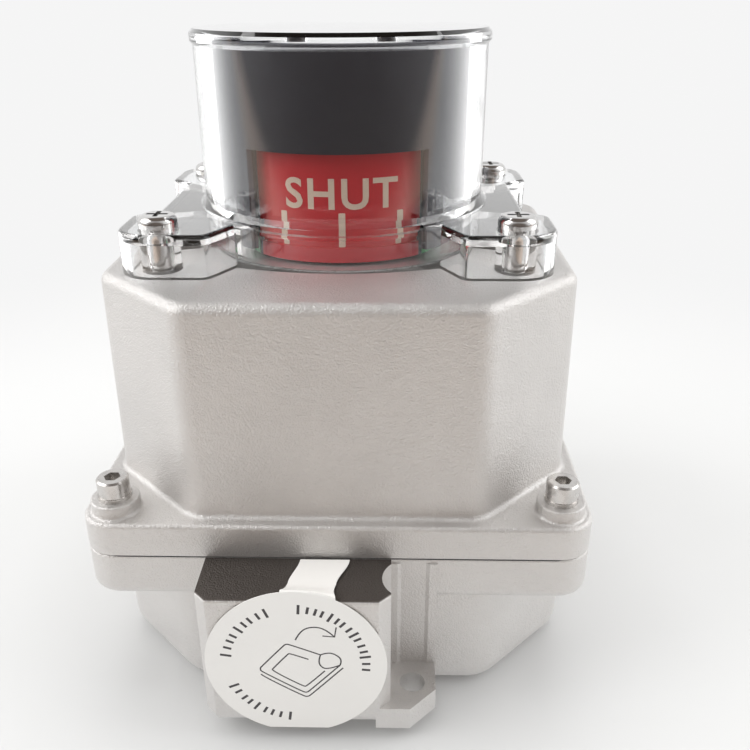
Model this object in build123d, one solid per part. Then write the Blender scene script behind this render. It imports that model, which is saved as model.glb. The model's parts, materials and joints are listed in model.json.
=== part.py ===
"""Valve limit switch box: a bolted cast box with a clear dome over a turning position drum.

Units are millimetres. +Z is up and -Y is the front, the side with the conduit entry.
The origin is on the shaft axis, in the plane of the flat base that the box stands on.
"""
import math
import os

from build123d import *

# ------------------------------------------------------------------ driving sizes
# Castings
FLANGE_LEDGE = 4.2             # flange beyond the body's sides
FLANGE_CORNER_R = 9.0          # plan radius of the flange corners
TUB_HEIGHT = 34.0              # base plane to the underside of the lower flange
LOWER_FLANGE_T = 13.4
COVER_FLANGE_T = 10.1
COVER_RISE = 61.0              # cover body above its own flange
BODY_WIDTH = 131.6             # octagonal body across flats where it meets the flange
BODY_CUT = 26.6                # corner cut of that octagon, measured along a side
BODY_EDGE_R = 8.0              # rounding of the upright edges
BODY_DRAFT = 0.65              # casting draft of the walls, degrees
BODY_FOOT_R = 1.6              # fillet between the cover's walls and its flange
WALL = 4.0                     # cast wall
FLOOR_T = 6.0                  # floor of the lower casting
ROOF_T = 5.0                   # roof of the cover
ROOF_EDGE_R = 3.0              # round along the roof edge
TUB_LEDGE = 1.3                # flange beyond the tub's sides
TUB_CUT = 26.0                 # corner cut of the tub
TUB_CORNER_R = 14.0            # rounding of the tub's upright edges
TUB_EDGE_R = 7.0               # round along the base edge
FLANGE_EDGE_R = 1.2            # round along the flange's outer edges
LOWER_FLANGE_EDGE_R = 3.0      # round along its lower edge
PARTING_EDGE_R = 0.6           # broken edges at the parting plane

# Bolted joint of the castings
BOLT_INSET = 8.8               # bolt axes, from the flange's sides
BOLT_R = 2.5
BOLT_HEAD_R = 4.4
BOLT_HEAD_H = 5.0
BOLT_HEAD_EDGE = 0.5           # chamfer of the head
BOLT_SOCKET_AF = 4.0           # across flats of the hexagon socket
BOLT_SOCKET_DEPTH = 2.6
BOLT_DEPTH = 11.0              # thread length in the lower flange
BOLT_PAD_R = 6.6               # raised pad round each bolt
BOLT_PAD_H = 3.8
BOLT_PAD_EDGE_R = 0.5
BOLT_PAD_FOOT_R = 0.9
WASHER_R = 4.6                 # split spring washer
WASHER_T = 1.2
WASHER_SPLIT = 0.7
WASHER_SLANT = 30.0            # lean of the split, degrees
WASHER_TURN = 25.0             # where the split points, degrees from +X
GASKET_W = 3.0
GASKET_H = 2.2
GASKET_LAND = 2.0              # cavity wall to the seal groove's inner side

# Conduit boss and earthing lug on the front
BOSS_WIDTH = 50.6
BOSS_X = -10.3                 # centre plane of the boss
BOSS_PROJECTION = 17.6         # in front of the flange face
BOSS_BOTTOM = 4.0              # above the base plane
BOSS_CHAMFER = 3.0
BOSS_LOWER_R = 5.0             # round on the boss's outer lower edge
BOSS_EDGE_R = 0.8              # broken edges round the boss's face
ENTRY_R = 11.9                 # drilled size of the 3/4 inch taper thread
ENTRY_LENGTH = 20.0
ENTRY_PASSAGE_R = 10.5         # clear way from the thread to the cavity
ENTRY_CHAMFER = 1.5
LUG_WIDTH = 12.6               # sideways from the boss
LUG_T = 7.0
LUG_CUT = 7.3                  # slanted front corner
LUG_HOLE_R = 3.5
LUG_HOLE_X = 6.1               # hole axis, from the boss side
LUG_HOLE_Y = 7.8               # hole axis, from the flange face
COLUMN_PROUD = 0.5             # column over the lug, in front of the flange face
SCALLOP_R = 8.5                # driver clearance above the lug hole

# Base mounting pattern and shaft bearing in the floor
MOUNT_SPACING_X = 80.0
MOUNT_SPACING_Y = 30.0
MOUNT_HOLE_R = 2.5
MOUNT_HOLE_DEPTH = 10.0
MOUNT_PAD_R = 7.0
HUB_R = 14.0                   # bearing hub that stands in the tub
HUB_TOP = 26.0
BASE_RECESS_R = 12.5
BASE_RECESS_H = 6.5

# Shaft
SHAFT_END = 1.0                # recess of the drive end behind the base plane
SHAFT_LOWER_R = 7.0
SHAFT_R = 6.0
SHAFT_TOP_R = 4.0
SHAFT_FLAT = 3.1               # axis to the flat that drives the drum
SHAFT_COLLAR_R = 10.0
SHAFT_COLLAR_T = 3.0
DRIVE_BORE_R = 4.0
DRIVE_BORE_DEPTH = 12.0
KEYWAY_W = 2.0
KEYWAY_DEPTH = 1.2
RUNNING_FIT = 0.04             # radial clearance of a turning fit
AXIAL_PLAY = 0.1

# Bushings, shaft seals and retaining clip
BUSH_WALL = 3.0
BUSH_FLANGE_R = 13.0
BUSH_FLANGE_T = 2.0
SEAL_H = 2.2
SEAL_GAP = 0.05
LIP_T = 1.3                    # ring of metal that holds a seal in its bore
CLIP_T = 1.2
CLIP_R = 10.5
CLIP_GROOVE_R = 5.8
CLIP_MOUTH = 6.4
CLIP_EDGE_R = 0.5
ROOF_HUB_DROP = 10.0           # bearing hub below the roof
ROOF_HUB_R = 13.0

# Clear dome with its flanged base
DOME_R = 41.5
DOME_WALL = 2.8
DOME_TOP_T = 2.4
DOME_HEIGHT = 59.7             # cover roof to the top of the dome
DOME_LIP = 0.8                 # proud ring at the top edge
DOME_FOOT_R = 43.0             # bead where the dome meets its base
DOME_FOOT_H = 2.2              # height of that bead's slope, and its depth in the base
DOME_LIP_H = 2.2               # straight side of the proud ring
DOME_LIP_SLOPE = 1.0
DOME_BASE_T = 11.8
DOME_OPENING_R = 36.8
PAD_SPACING_X = 96.0           # dome screw pattern
PAD_SPACING_Y = 71.0
PAD_R = 10.5
PAD_REACH_X = 14.5             # inner reach of a corner pad from its screw
PAD_REACH_Y = 11.5
PAD_WALL = 2.6                 # walls left round the cored pockets
POCKET_H = 8.6
COLUMN_R = 5.6                 # column round each dome screw
WAIST_Y = 40.2                 # half depth of the base at its waist
WAIST_X = 52.0
WAIST_R = 80.0
DOME_SCREW_R = 2.5
DOME_SCREW_DEPTH = 11.0
DOME_SCREW_HEAD_R = 5.3
DOME_SCREW_HEAD_H = 3.2
DOME_SEAL_W = 1.6
DOME_SEAL_H = 1.4
DOME_SEAL_INSET = 0.5          # dome opening to the seal groove

# Indicator: fixed shroud with two windows, and the drum that turns in it
SHROUD_R = 36.3
SHROUD_WALL = 1.6
SHROUD_BOTTOM = 3.5            # above the cover roof
SHROUD_TOP_GAP = 0.2           # below the dome's ceiling
WINDOW_TOP = 30.6              # above the cover roof
WINDOW_HALF_ANGLE = 41.0
PEG_R = 2.6
PEG_H = 1.2
PEG_X = 10.0
DRUM_R = 32.2
DRUM_PANEL_T = 1.0
DRUM_RIM = 0.5                 # the panels' thicker lower edge
DRUM_RIM_H = 4.1
DRUM_WALL = 2.0
DRUM_GAP = 0.9                 # above the cover roof
DRUM_HEIGHT = 33.0
PANEL_HALF_ANGLE = 43.5
DRUM_HUB_R = 9.0
DRUM_SEAT_H = 1.6              # shaft shoulder above the drum's lower edge
DRUM_RIB_T = 1.6
DRUM_RIB_H = 14.0
DRUM_SCREW_R = 2.0
DRUM_SCREW_HEAD_R = 4.2
DRUM_SCREW_HEAD_H = 2.6
DRUM_SCREW_LENGTH = 12.0

# Cams and switches
SHAFT_TURN = 90.0              # degrees from closed to open
CAM_R = 13.5                   # cam radius at a released lever
CAM_LEAD = 12.0                # degrees of the same spiral past each end of the turn
CAM_BACK_R = 11.5              # idle side of the cam
CAM_T = 7.0
CAM_SLEEVE_R = 8.4
CAM_SLEEVE_LENGTH = 38.0
CAM_SPACER_R = 10.5
CAM_COLLAR_T = 3.0             # sleeve's foot and the collar over the upper cam
LOWER_CAM_Z = 67.5             # middle of the lower cam
SWITCH_PITCH = 20.0            # height between the switches
SWITCH_LENGTH = 27.8
SWITCH_DEPTH = 15.9
SWITCH_T = 10.3
SWITCH_FACE_X = 24.5           # the side the lever works on
SWITCH_HOLE_R = 1.6
SWITCH_HOLE_END = 2.8          # holes, from the switch's ends
SWITCH_HOLE_INSET = 4.5        # holes, from the lever side
BLADE_LENGTH = 6.5
BLADE_PITCH = 10.0
EAR_T = 1.0
EAR_GAP = 0.4                  # lever's side to its ear
ROLLER_R = 2.4
ROLLER_GAP = 0.3               # lost motion between cam and roller
LEVER_PIVOT_X = 22.3
LEVER_PIVOT_Y = -11.5
LEVER_LENGTH = 16.0            # pivot to roller
LEVER_TRAVEL = 8.5             # degrees, over the shaft's quarter turn
LEVER_T = 0.8
LEVER_W = 5.0
LEVER_EYE_R = 1.8
PIVOT_R = 1.0
SHEET_T = 1.5                  # bracket sheet
BRACKET_WIDTH = 34.0
BRACKET_REACH = 22.5           # switch face to the foot's screws
BRACKET_FOOT_INNER = 5.0       # foot screws to the upright
BRACKET_FOOT_OUTER = 6.0       # foot screws to the foot's end
BRACKET_POST_Y = 11.0
BRACKET_FOOT_Z = 30.0
SMALL_SCREW_R = 1.5
SMALL_HEAD_R = 2.9
SMALL_HEAD_H = 2.0
SMALL_LENGTH = 7.0             # thread length in a post
POST_R = 5.0                   # posts and pads that take small screws
SMALL_HOLE_DEPTH = 9.0

# Terminal strip
STRIP_INSET = 19.8             # strip's middle, from the side wall
STRIP_Z = 34.0
STRIP_WIDTH = 18.0
STRIP_H = 13.0
STRIP_WAYS = 8
STRIP_PITCH = 7.0
STRIP_END = 8.0                # plain end block with a fixing hole
STRIP_BASE_H = 4.0             # thickness of the end blocks
STRIP_SPINE_T = 4.4
BARRIER_T = 1.4
TERMINAL_STEP = 5.0
TERMINAL_HEAD_R = 2.4
TERMINAL_HEAD_H = 2.0
TERMINAL_DEPTH = 3.5

# Earth screw inside the tub
EARTH_X = 34.0
EARTH_Y = -40.0
EARTH_PAD_TOP = 16.0
EARTH_DEPTH = 7.0

# Paper seal over the conduit entry
LABEL_R = 24.0
LABEL_T = 0.4
LABEL_X = 0.4                  # centre, from the boss's centre plane
LABEL_DROP = 20.5              # centre, below the parting plane
LABEL_MARGIN = 0.2             # cut edge of the label, above the boss's lower side
LABEL_LIFT = 0.1               # adhesive film
STRAP_WIDTH = 13.6
STRAP_SKEW = 2.6               # sideways run of the strap on its way back
STRAP_X = 5.0                  # strap centre, from the boss's centre plane
STRAP_END_GAP = 0.9            # strap end to the cover's flange
STRAP_BEND = 6.0               # boss face to where the strap meets the boss's top

THREAD_GAP = 0.05              # radial clearance of a screw in its plain drilled hole
SCREW_HOLE_GAP = 0.3           # radial clearance of a screw in a through hole
SEAT_GAP = 0.02

# ------------------------------------------------------------------ levels and planes
FLANGE_WIDTH = BODY_WIDTH + 2 * FLANGE_LEDGE
BOLT_OFFSET = FLANGE_WIDTH / 2 - BOLT_INSET
CAVITY_HALF = BODY_WIDTH / 2 - WALL
Z_PARTING = TUB_HEIGHT + LOWER_FLANGE_T
Z_FLANGE_TOP = Z_PARTING + COVER_FLANGE_T
Z_ROOF = Z_FLANGE_TOP + COVER_RISE
Z_CEILING = Z_ROOF - ROOF_T
Z_PAD = Z_FLANGE_TOP + BOLT_PAD_H
Z_DOME_BASE = Z_ROOF + DOME_BASE_T
Z_DOME_TOP = Z_ROOF + DOME_HEIGHT
Z_DOME_CEILING = Z_DOME_TOP - DOME_TOP_T
Y_FLANGE = -FLANGE_WIDTH / 2
Y_BOSS = Y_FLANGE - BOSS_PROJECTION
BOSS_SIDE = BOSS_X + BOSS_WIDTH / 2
LUG_SIDE = BOSS_SIDE + LUG_WIDTH
ENTRY_Z = (BOSS_BOTTOM + Z_PARTING) / 2
BRACKET_POST_X = SWITCH_FACE_X + BRACKET_REACH
SWITCH_HOLE_X = SWITCH_FACE_X + SWITCH_HOLE_INSET
SWITCH_HOLE_Y = SWITCH_LENGTH / 2 - SWITCH_HOLE_END
STRIP_X = STRIP_INSET - CAVITY_HALF
UPPER_CAM_Z = LOWER_CAM_Z + SWITCH_PITCH
TINY = 0.01


def corners(dx, dy):
    """The four points at plus and minus dx, dy."""
    return [(sx * dx, sy * dy) for sx in (-1, 1) for sy in (-1, 1)]


def post(radius, z0, z1, x=0.0, y=0.0):
    """An upright cylinder from height z0 to z1."""
    return Pos(x, y, z0) * Cylinder(radius, z1 - z0, align=(Align.CENTER, Align.CENTER, Align.MIN))


def ring(outer, inner, z0, z1, x=0.0, y=0.0):
    """An upright tube."""
    return post(outer, z0, z1, x, y) - post(inner, z0 - 1, z1 + 1, x, y)


def block(x0, x1, y0, y1, z0, z1):
    """A box from its lowest to its highest corner."""
    centre = ((x0 + x1) / 2, (y0 + y1) / 2, (z0 + z1) / 2)
    return Pos(*centre) * Box(x1 - x0, y1 - y0, z1 - z0)


def fuse(shapes):
    """One solid from several that touch or overlap."""
    shapes = list(shapes)
    return shapes[0].fuse(*shapes[1:]).clean() if len(shapes) > 1 else shapes[0]


def octagon(half, cut, radius):
    """A square with cut and rounded corners."""
    flat = half - cut
    points = [(-flat, -half), (flat, -half), (half, -flat), (half, flat)]
    points += [(-x, -y) for x, y in points]
    return fillet(Polygon(*points, align=None).vertices(), radius)


def octagon_body(half, cut, radius, z0, height, draft):
    """An upright octagonal body that leans inwards by the draft."""
    return Pos(0, 0, z0) * extrude(octagon(half, cut, radius), height, taper=draft)


def flange_plate(z0, z1):
    """The square flange plate of one casting."""
    return Pos(0, 0, z0) * extrude(RectangleRounded(FLANGE_WIDTH, FLANGE_WIDTH, FLANGE_CORNER_R), z1 - z0)


def seal_path(offset):
    """Outline of the seal between the castings, moved in from its outer side."""
    half = CAVITY_HALF + GASKET_LAND + GASKET_W - offset
    return octagon(half, BODY_CUT, BODY_EDGE_R)


def bolt_places():
    return corners(BOLT_OFFSET, BOLT_OFFSET)


def pad_places():
    return corners(PAD_SPACING_X / 2, PAD_SPACING_Y / 2)


# ------------------------------------------------------------------ castings
def conduit_boss():
    """Boss for the conduit entry, flush with the parting plane, with chamfered front corners."""
    x0 = BOSS_X - BOSS_WIDTH / 2
    body = block(x0, BOSS_SIDE, Y_BOSS, Y_FLANGE + 2 * WALL, BOSS_BOTTOM, Z_PARTING)
    upright = [e for e in body.edges().filter_by(Axis.Z) if e.center().Y < Y_BOSS + 1]
    body = chamfer(upright, BOSS_CHAMFER)
    front = [e for e in body.edges() if e.center().Y < Y_BOSS + BOSS_CHAMFER + TINY]
    body = fillet([e for e in front if e.center().Z > BOSS_BOTTOM + 1], BOSS_EDGE_R)
    lower = [e for e in body.edges().filter_by(Axis.Y) if e.center().X < x0 + 1]
    lower = [e for e in lower if e.center().Z < BOSS_BOTTOM + 1]
    return fillet(lower, BOSS_LOWER_R)


def earth_lug():
    """Flat lug at the boss's foot, and the column behind it that ties it to the flange."""
    plan = Polyline(
        (BOSS_SIDE - WALL, Y_FLANGE + WALL),
        (BOSS_SIDE - WALL, Y_BOSS),
        (LUG_SIDE - LUG_CUT, Y_BOSS),
        (LUG_SIDE, Y_BOSS + LUG_CUT),
        (LUG_SIDE, Y_FLANGE + WALL),
        close=True,
    )
    lug = Pos(0, 0, BOSS_BOTTOM) * extrude(make_face(plan), LUG_T)
    front = Y_FLANGE - COLUMN_PROUD
    top = Z_PARTING - FLANGE_EDGE_R
    column = block(BOSS_SIDE - WALL, LUG_SIDE, front, Y_FLANGE + 2 * WALL, BOSS_BOTTOM, top)
    return fuse([lug, column])


def tub_cavity():
    """Hollow of the lower casting, open at the parting plane."""
    plan = octagon(CAVITY_HALF, BODY_CUT, BODY_EDGE_R - WALL)
    return Pos(0, 0, Z_PARTING + 1) * extrude(plan, -(Z_PARTING + 1 - FLOOR_T), taper=BODY_DRAFT)


def tub_posts():
    """Pads and posts that rise from the tub's floor."""
    posts = [post(HUB_R, 0, HUB_TOP)]
    posts += [post(MOUNT_PAD_R, 1, MOUNT_HOLE_DEPTH + WALL, x, y) for x, y in mount_places()]
    for s in (-1, 1):
        posts.append(post(POST_R, 1, BRACKET_FOOT_Z, BRACKET_POST_X, s * BRACKET_POST_Y))
        posts.append(post(POST_R, 1, STRIP_Z, STRIP_X, s * strip_screw_y()))
    posts.append(post(POST_R, 1, EARTH_PAD_TOP, EARTH_X, EARTH_Y))
    return posts


def mount_places():
    return corners(MOUNT_SPACING_X / 2, MOUNT_SPACING_Y / 2)


def strip_screw_y():
    return STRIP_WAYS * STRIP_PITCH / 2 + STRIP_END / 2


def lower_housing():
    """Cast tub with its flange, conduit boss, earthing lug and shaft bearing hub."""
    plan = octagon(FLANGE_WIDTH / 2 - TUB_LEDGE, TUB_CUT, TUB_CORNER_R)
    tub = Pos(0, 0, Z_PARTING - 1) * extrude(plan, -(Z_PARTING - 1), taper=BODY_DRAFT)
    tub = fillet(tub.edges().group_by(Axis.Z)[0], TUB_EDGE_R)
    flange = flange_plate(TUB_HEIGHT, Z_PARTING)
    flange = fillet(flange.edges().group_by(Axis.Z)[0], LOWER_FLANGE_EDGE_R)
    flange = fillet(flange.edges().group_by(Axis.Z)[-1], PARTING_EDGE_R)
    outside = fuse([tub, flange, conduit_boss(), earth_lug()])
    scallop_x = BOSS_SIDE + LUG_HOLE_X
    scallop_y = Y_FLANGE - LUG_HOLE_Y
    outside -= post(SCALLOP_R, BOSS_BOTTOM + LUG_T, Z_PARTING + 1, scallop_x, scallop_y) - block(
        -FLANGE_WIDTH, FLANGE_WIDTH, Y_FLANGE, 0, 0, Z_PARTING + 2
    )
    outside -= post(LUG_HOLE_R, 0, BOSS_BOTTOM + LUG_T + 1, scallop_x, scallop_y)
    body = outside - tub_cavity()
    body = fuse([body] + tub_posts())
    for x, y in mount_places():
        body -= post(MOUNT_HOLE_R, -1, MOUNT_HOLE_DEPTH, x, y)
    for x, y in bolt_places():
        body -= post(BOLT_R + THREAD_GAP, Z_PARTING - BOLT_DEPTH, Z_PARTING + 1, x, y)
    hole = post(SMALL_SCREW_R + THREAD_GAP, -SMALL_HOLE_DEPTH, 1)
    for s in (-1, 1):
        body -= Pos(BRACKET_POST_X, s * BRACKET_POST_Y, BRACKET_FOOT_Z) * hole
        body -= Pos(STRIP_X, s * strip_screw_y(), STRIP_Z) * hole
    body -= Pos(EARTH_X, EARTH_Y, EARTH_PAD_TOP) * post(DRUM_SCREW_R + THREAD_GAP, -EARTH_DEPTH - 1, 1)
    body -= post(BASE_RECESS_R, -1, BASE_RECESS_H)
    body -= post(SHAFT_LOWER_R + BUSH_WALL, BASE_RECESS_H + LIP_T, HUB_TOP + 1)
    body -= post(SHAFT_LOWER_R + 10 * RUNNING_FIT, -1, HUB_TOP)
    body -= conduit_bore()
    body -= Pos(0, 0, Z_PARTING - GASKET_H) * extrude(
        seal_path(0) - seal_path(GASKET_W), GASKET_H + 1
    )
    return body


def conduit_bore():
    """Threaded length, lead-in chamfer and clear passage of the conduit entry."""
    profile = Polyline(
        (0, 0),
        (ENTRY_R + ENTRY_CHAMFER, 0),
        (ENTRY_R, ENTRY_CHAMFER),
        (ENTRY_R, ENTRY_LENGTH + ENTRY_CHAMFER),
        (ENTRY_PASSAGE_R, ENTRY_LENGTH + ENTRY_CHAMFER),
        (ENTRY_PASSAGE_R, BOSS_PROJECTION + 4 * WALL),
        (0, BOSS_PROJECTION + 4 * WALL),
        close=True,
    )
    bore = revolve(make_face(profile), Axis.Y)
    return Pos(BOSS_X, Y_BOSS, ENTRY_Z) * bore


def cover_housing():
    """Cast octagonal cover with bolt pads, bearing hub and screw bosses for the dome."""
    foot_z = Z_PARTING + 1
    body = octagon_body(BODY_WIDTH / 2, BODY_CUT, BODY_EDGE_R, foot_z, Z_ROOF - foot_z, BODY_DRAFT)
    body = fillet(body.edges().group_by(Axis.Z)[-1], ROOF_EDGE_R)
    flange = flange_plate(Z_PARTING, Z_FLANGE_TOP)
    flange = fillet(flange.edges().group_by(Axis.Z)[-1], FLANGE_EDGE_R)
    flange = fillet(flange.edges().group_by(Axis.Z)[0], PARTING_EDGE_R)
    pad = post(BOLT_PAD_R, Z_PARTING + 1, Z_PAD)
    pad = fillet(pad.edges().group_by(Axis.Z)[-1], BOLT_PAD_EDGE_R)
    body = fuse([flange, body])
    reach = BODY_WIDTH / 2 + TINY
    foot = [e for e in body.edges() if abs(e.center().Z - Z_FLANGE_TOP) < TINY]
    foot = [e for e in foot if abs(e.center().X) < reach and abs(e.center().Y) < reach]
    body = fuse([fillet(foot, BODY_FOOT_R)] + [Pos(x, y, 0) * pad for x, y in bolt_places()])
    rings = [e for e in body.edges().filter_by(GeomType.CIRCLE) if abs(e.center().Z - Z_FLANGE_TOP) < TINY]
    rings = [e for e in rings if abs(e.radius - BOLT_PAD_R) < TINY]
    ledge = BOLT_INSET - BOLT_PAD_R - FLANGE_EDGE_R
    body = fillet(rings, min(BOLT_PAD_FOOT_R, 0.95 * ledge))
    height = Z_CEILING - Z_PARTING + 1
    body -= octagon_body(CAVITY_HALF, BODY_CUT, BODY_EDGE_R - WALL, Z_PARTING - 1, height, BODY_DRAFT)
    posts = [post(ROOF_HUB_R, Z_CEILING - ROOF_HUB_DROP, Z_ROOF - 1)]
    boss_bottom = Z_ROOF - DOME_SCREW_DEPTH - WALL
    posts += [post(DOME_SCREW_R + WALL, boss_bottom, Z_ROOF - 1, x, y) for x, y in pad_places()]
    body = fuse([body] + posts)
    for x, y in bolt_places():
        body -= post(BOLT_R + SCREW_HOLE_GAP, 0, Z_PAD + 1, x, y)
    for x, y in pad_places():
        body -= post(DOME_SCREW_R + THREAD_GAP, Z_ROOF - DOME_SCREW_DEPTH, Z_ROOF + 1, x, y)
    hub_bottom = Z_CEILING - ROOF_HUB_DROP
    body -= post(SHAFT_R + BUSH_WALL, hub_bottom + LIP_T, Z_ROOF + 1)
    body -= post(SHAFT_R + 10 * RUNNING_FIT, hub_bottom - 1, Z_ROOF)
    groove_r = DOME_OPENING_R + DOME_SEAL_INSET
    body -= ring(groove_r + DOME_SEAL_W, groove_r, Z_ROOF - DOME_SEAL_H, Z_ROOF + 1)
    return body


def cover_gasket():
    """Seal cord between the castings, pressed flat into its groove."""
    width = GASKET_W - SEAL_GAP
    return Pos(0, 0, Z_PARTING - GASKET_H) * extrude(seal_path(SEAL_GAP) - seal_path(width), GASKET_H)


# ------------------------------------------------------------------ fasteners
def socket_bolt():
    """Socket-head cap screw, head seat at z = 0, pointing down."""
    shank = COVER_FLANGE_T + BOLT_PAD_H + WASHER_T + BOLT_DEPTH - 1
    head = post(BOLT_HEAD_R, 0, BOLT_HEAD_H)
    head = chamfer(head.edges().group_by(Axis.Z)[-1], BOLT_HEAD_EDGE)
    bolt = fuse([head, post(BOLT_R, -shank, 1)])
    socket = RegularPolygon(BOLT_SOCKET_AF / 2, 6, major_radius=False)
    return bolt - Pos(0, 0, BOLT_HEAD_H - BOLT_SOCKET_DEPTH) * extrude(socket, BOLT_SOCKET_DEPTH + 1)


def pan_screw(radius, head_r, head_h, length, recess):
    """Pan-head screw with a cross recess, or cheese-head one without, seat at z = 0, pointing down."""
    head = post(head_r, 0, head_h)
    top = head.edges().group_by(Axis.Z)[-1]
    head = fillet(top, 0.62 * head_h) if recess else chamfer(top, 0.2 * head_h)
    screw = fuse([head, post(radius, -length, 1)])
    if recess:
        arm = 1.15 * radius
        width = 0.5 * radius
        cross = Box(2 * arm, width, head_h) + Box(width, 2 * arm, head_h)
        screw -= Pos(0, 0, head_h) * cross
    return screw


def cover_bolts():
    bolt = socket_bolt()
    return [Pos(x, y, Z_PAD + WASHER_T) * bolt for x, y in bolt_places()]


def bolt_washers():
    """Split spring washers, pressed flat under the heads."""
    washer = ring(WASHER_R, BOLT_R + SCREW_HOLE_GAP, 0, WASHER_T)
    split = Box(2 * WASHER_R, WASHER_SPLIT, 4 * WASHER_T, align=(Align.MIN, Align.CENTER, Align.CENTER))
    washer -= Pos(0, 0, WASHER_T / 2) * Rot(WASHER_SLANT, 0, 0) * split
    washer = Rot(0, 0, WASHER_TURN) * washer
    return [Pos(x, y, Z_PAD) * washer for x, y in bolt_places()]


def dome_screws():
    length = DOME_BASE_T + DOME_SCREW_DEPTH - 1
    screw = pan_screw(DOME_SCREW_R, DOME_SCREW_HEAD_R, DOME_SCREW_HEAD_H, length, True)
    return [Pos(x, y, Z_DOME_BASE) * screw for x, y in pad_places()]


# ------------------------------------------------------------------ clear dome
def dome_pad_plan():
    """Plan of one corner pad of the dome's base, for the +X +Y corner."""
    px = PAD_SPACING_X / 2
    py = PAD_SPACING_Y / 2
    outer_x = px + PAD_R
    outer_y = py + PAD_R
    outline = Polyline(
        (0, 0),
        (px - PAD_REACH_X - 0.7 * PAD_R, 0.8 * WAIST_Y),
        (px - PAD_REACH_X, outer_y),
        (outer_x, outer_y),
        (outer_x, py - PAD_REACH_Y),
        (0.94 * WAIST_X, py - PAD_REACH_Y - 0.8 * PAD_R),
        close=True,
    )
    plan = make_face(outline)
    tips = [v for v in plan.vertices() if abs(v.X - outer_x) < TINY and abs(v.Y - outer_y) < TINY]
    plan = fillet(tips, PAD_R - 0.5)
    others = [v for v in plan.vertices() if abs(v.Y - outer_y) < TINY and v.X < px - 1]
    others += [v for v in plan.vertices() if abs(v.X - outer_x) < TINY and v.Y < py - 1]
    return fillet(others, WALL)


def dome_base_plan():
    """Plan of the dome's base: a waisted plate with four corner pads."""
    waist = Pos(0, WAIST_R - WAIST_Y) * Circle(WAIST_R) & Pos(0, WAIST_Y - WAIST_R) * Circle(WAIST_R)
    waist &= Rectangle(PAD_SPACING_X, 2 * WAIST_Y)
    sides = Rectangle(2 * WAIST_X, PAD_SPACING_Y - PAD_REACH_Y)
    pad = dome_pad_plan()
    plan = waist + sides + pad + mirror(pad, Plane.YZ)
    return plan + mirror(pad, Plane.XZ) + mirror(mirror(pad, Plane.YZ), Plane.XZ)


def dome_shell_profile():
    """Half section of the dome and its foot bead, in the XZ plane."""
    z0 = Z_DOME_BASE - DOME_FOOT_H
    inner = DOME_R - DOME_WALL
    lip = DOME_R + DOME_LIP
    lip_z = Z_DOME_TOP - DOME_LIP_SLOPE
    outline = Polyline(
        (0, Z_DOME_CEILING),
        (inner, Z_DOME_CEILING),
        (inner, z0),
        (DOME_FOOT_R, z0),
        (DOME_FOOT_R, Z_DOME_BASE + DOME_FOOT_H / 4),
        (DOME_R, Z_DOME_BASE + DOME_FOOT_H),
        (DOME_R, lip_z - DOME_LIP_H - DOME_LIP_SLOPE),
        (lip, lip_z - DOME_LIP_H),
        (lip, lip_z),
        (lip - DOME_LIP_SLOPE, Z_DOME_TOP),
        (0, Z_DOME_TOP),
        close=True,
    )
    return Plane.XZ * make_face(outline)


def indicator_dome():
    """Clear dome with a flanged base, cored from below, and four screw columns."""
    plate = Pos(0, 0, Z_ROOF) * extrude(dome_base_plan(), DOME_BASE_T)
    plate = fillet(plate.edges().group_by(Axis.Z)[-1], 1.2)
    shell = revolve(dome_shell_profile(), Axis.Z)
    body = fuse([plate, shell])
    pocket = offset(dome_pad_plan(), -PAD_WALL)
    keep = Circle(DOME_OPENING_R + 2 * DOME_SEAL_INSET + DOME_SEAL_W + 1.2)
    for sx in (1, -1):
        for sy in (1, -1):
            flat = pocket if sx > 0 else mirror(pocket, Plane.YZ)
            flat = flat if sy > 0 else mirror(flat, Plane.XZ)
            centre = (sx * PAD_SPACING_X / 2, sy * PAD_SPACING_Y / 2)
            flat = flat - keep - Pos(*centre) * Circle(COLUMN_R)
            body -= Pos(0, 0, Z_ROOF - 1) * extrude(flat, POCKET_H + 1)
    body -= post(DOME_OPENING_R, Z_ROOF - 1, Z_DOME_BASE - DOME_FOOT_H)
    body -= post(DOME_R - DOME_WALL, Z_DOME_BASE - DOME_FOOT_H - TINY, Z_DOME_CEILING)
    for x, y in pad_places():
        body -= post(DOME_SCREW_R + SCREW_HOLE_GAP, Z_ROOF - 1, Z_DOME_BASE + 1, x, y)
    for s in (-1, 1):
        body -= post(PEG_R + SEAT_GAP, Z_DOME_CEILING - 1, Z_DOME_CEILING + PEG_H + SEAT_GAP, s * PEG_X)
    return body


def dome_seal():
    """Seal ring in the cover's roof, under the dome's base."""
    inner = DOME_OPENING_R + DOME_SEAL_INSET + SEAL_GAP
    outer = inner + DOME_SEAL_W - 2 * SEAL_GAP
    return ring(outer, inner, Z_ROOF - DOME_SEAL_H, Z_ROOF)


# ------------------------------------------------------------------ indicator
def sector(radius, half_angle, direction):
    """A plan wedge centred on a direction, both in degrees, reaching past the radius."""
    reach = radius / math.cos(math.radians(half_angle / 2)) * 1.2
    points = [(0, 0)]
    for step in range(-2, 3):
        turn = math.radians(direction + step * half_angle / 2)
        points.append((reach * math.cos(turn), reach * math.sin(turn)))
    return Polygon(*points, align=None)


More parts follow.
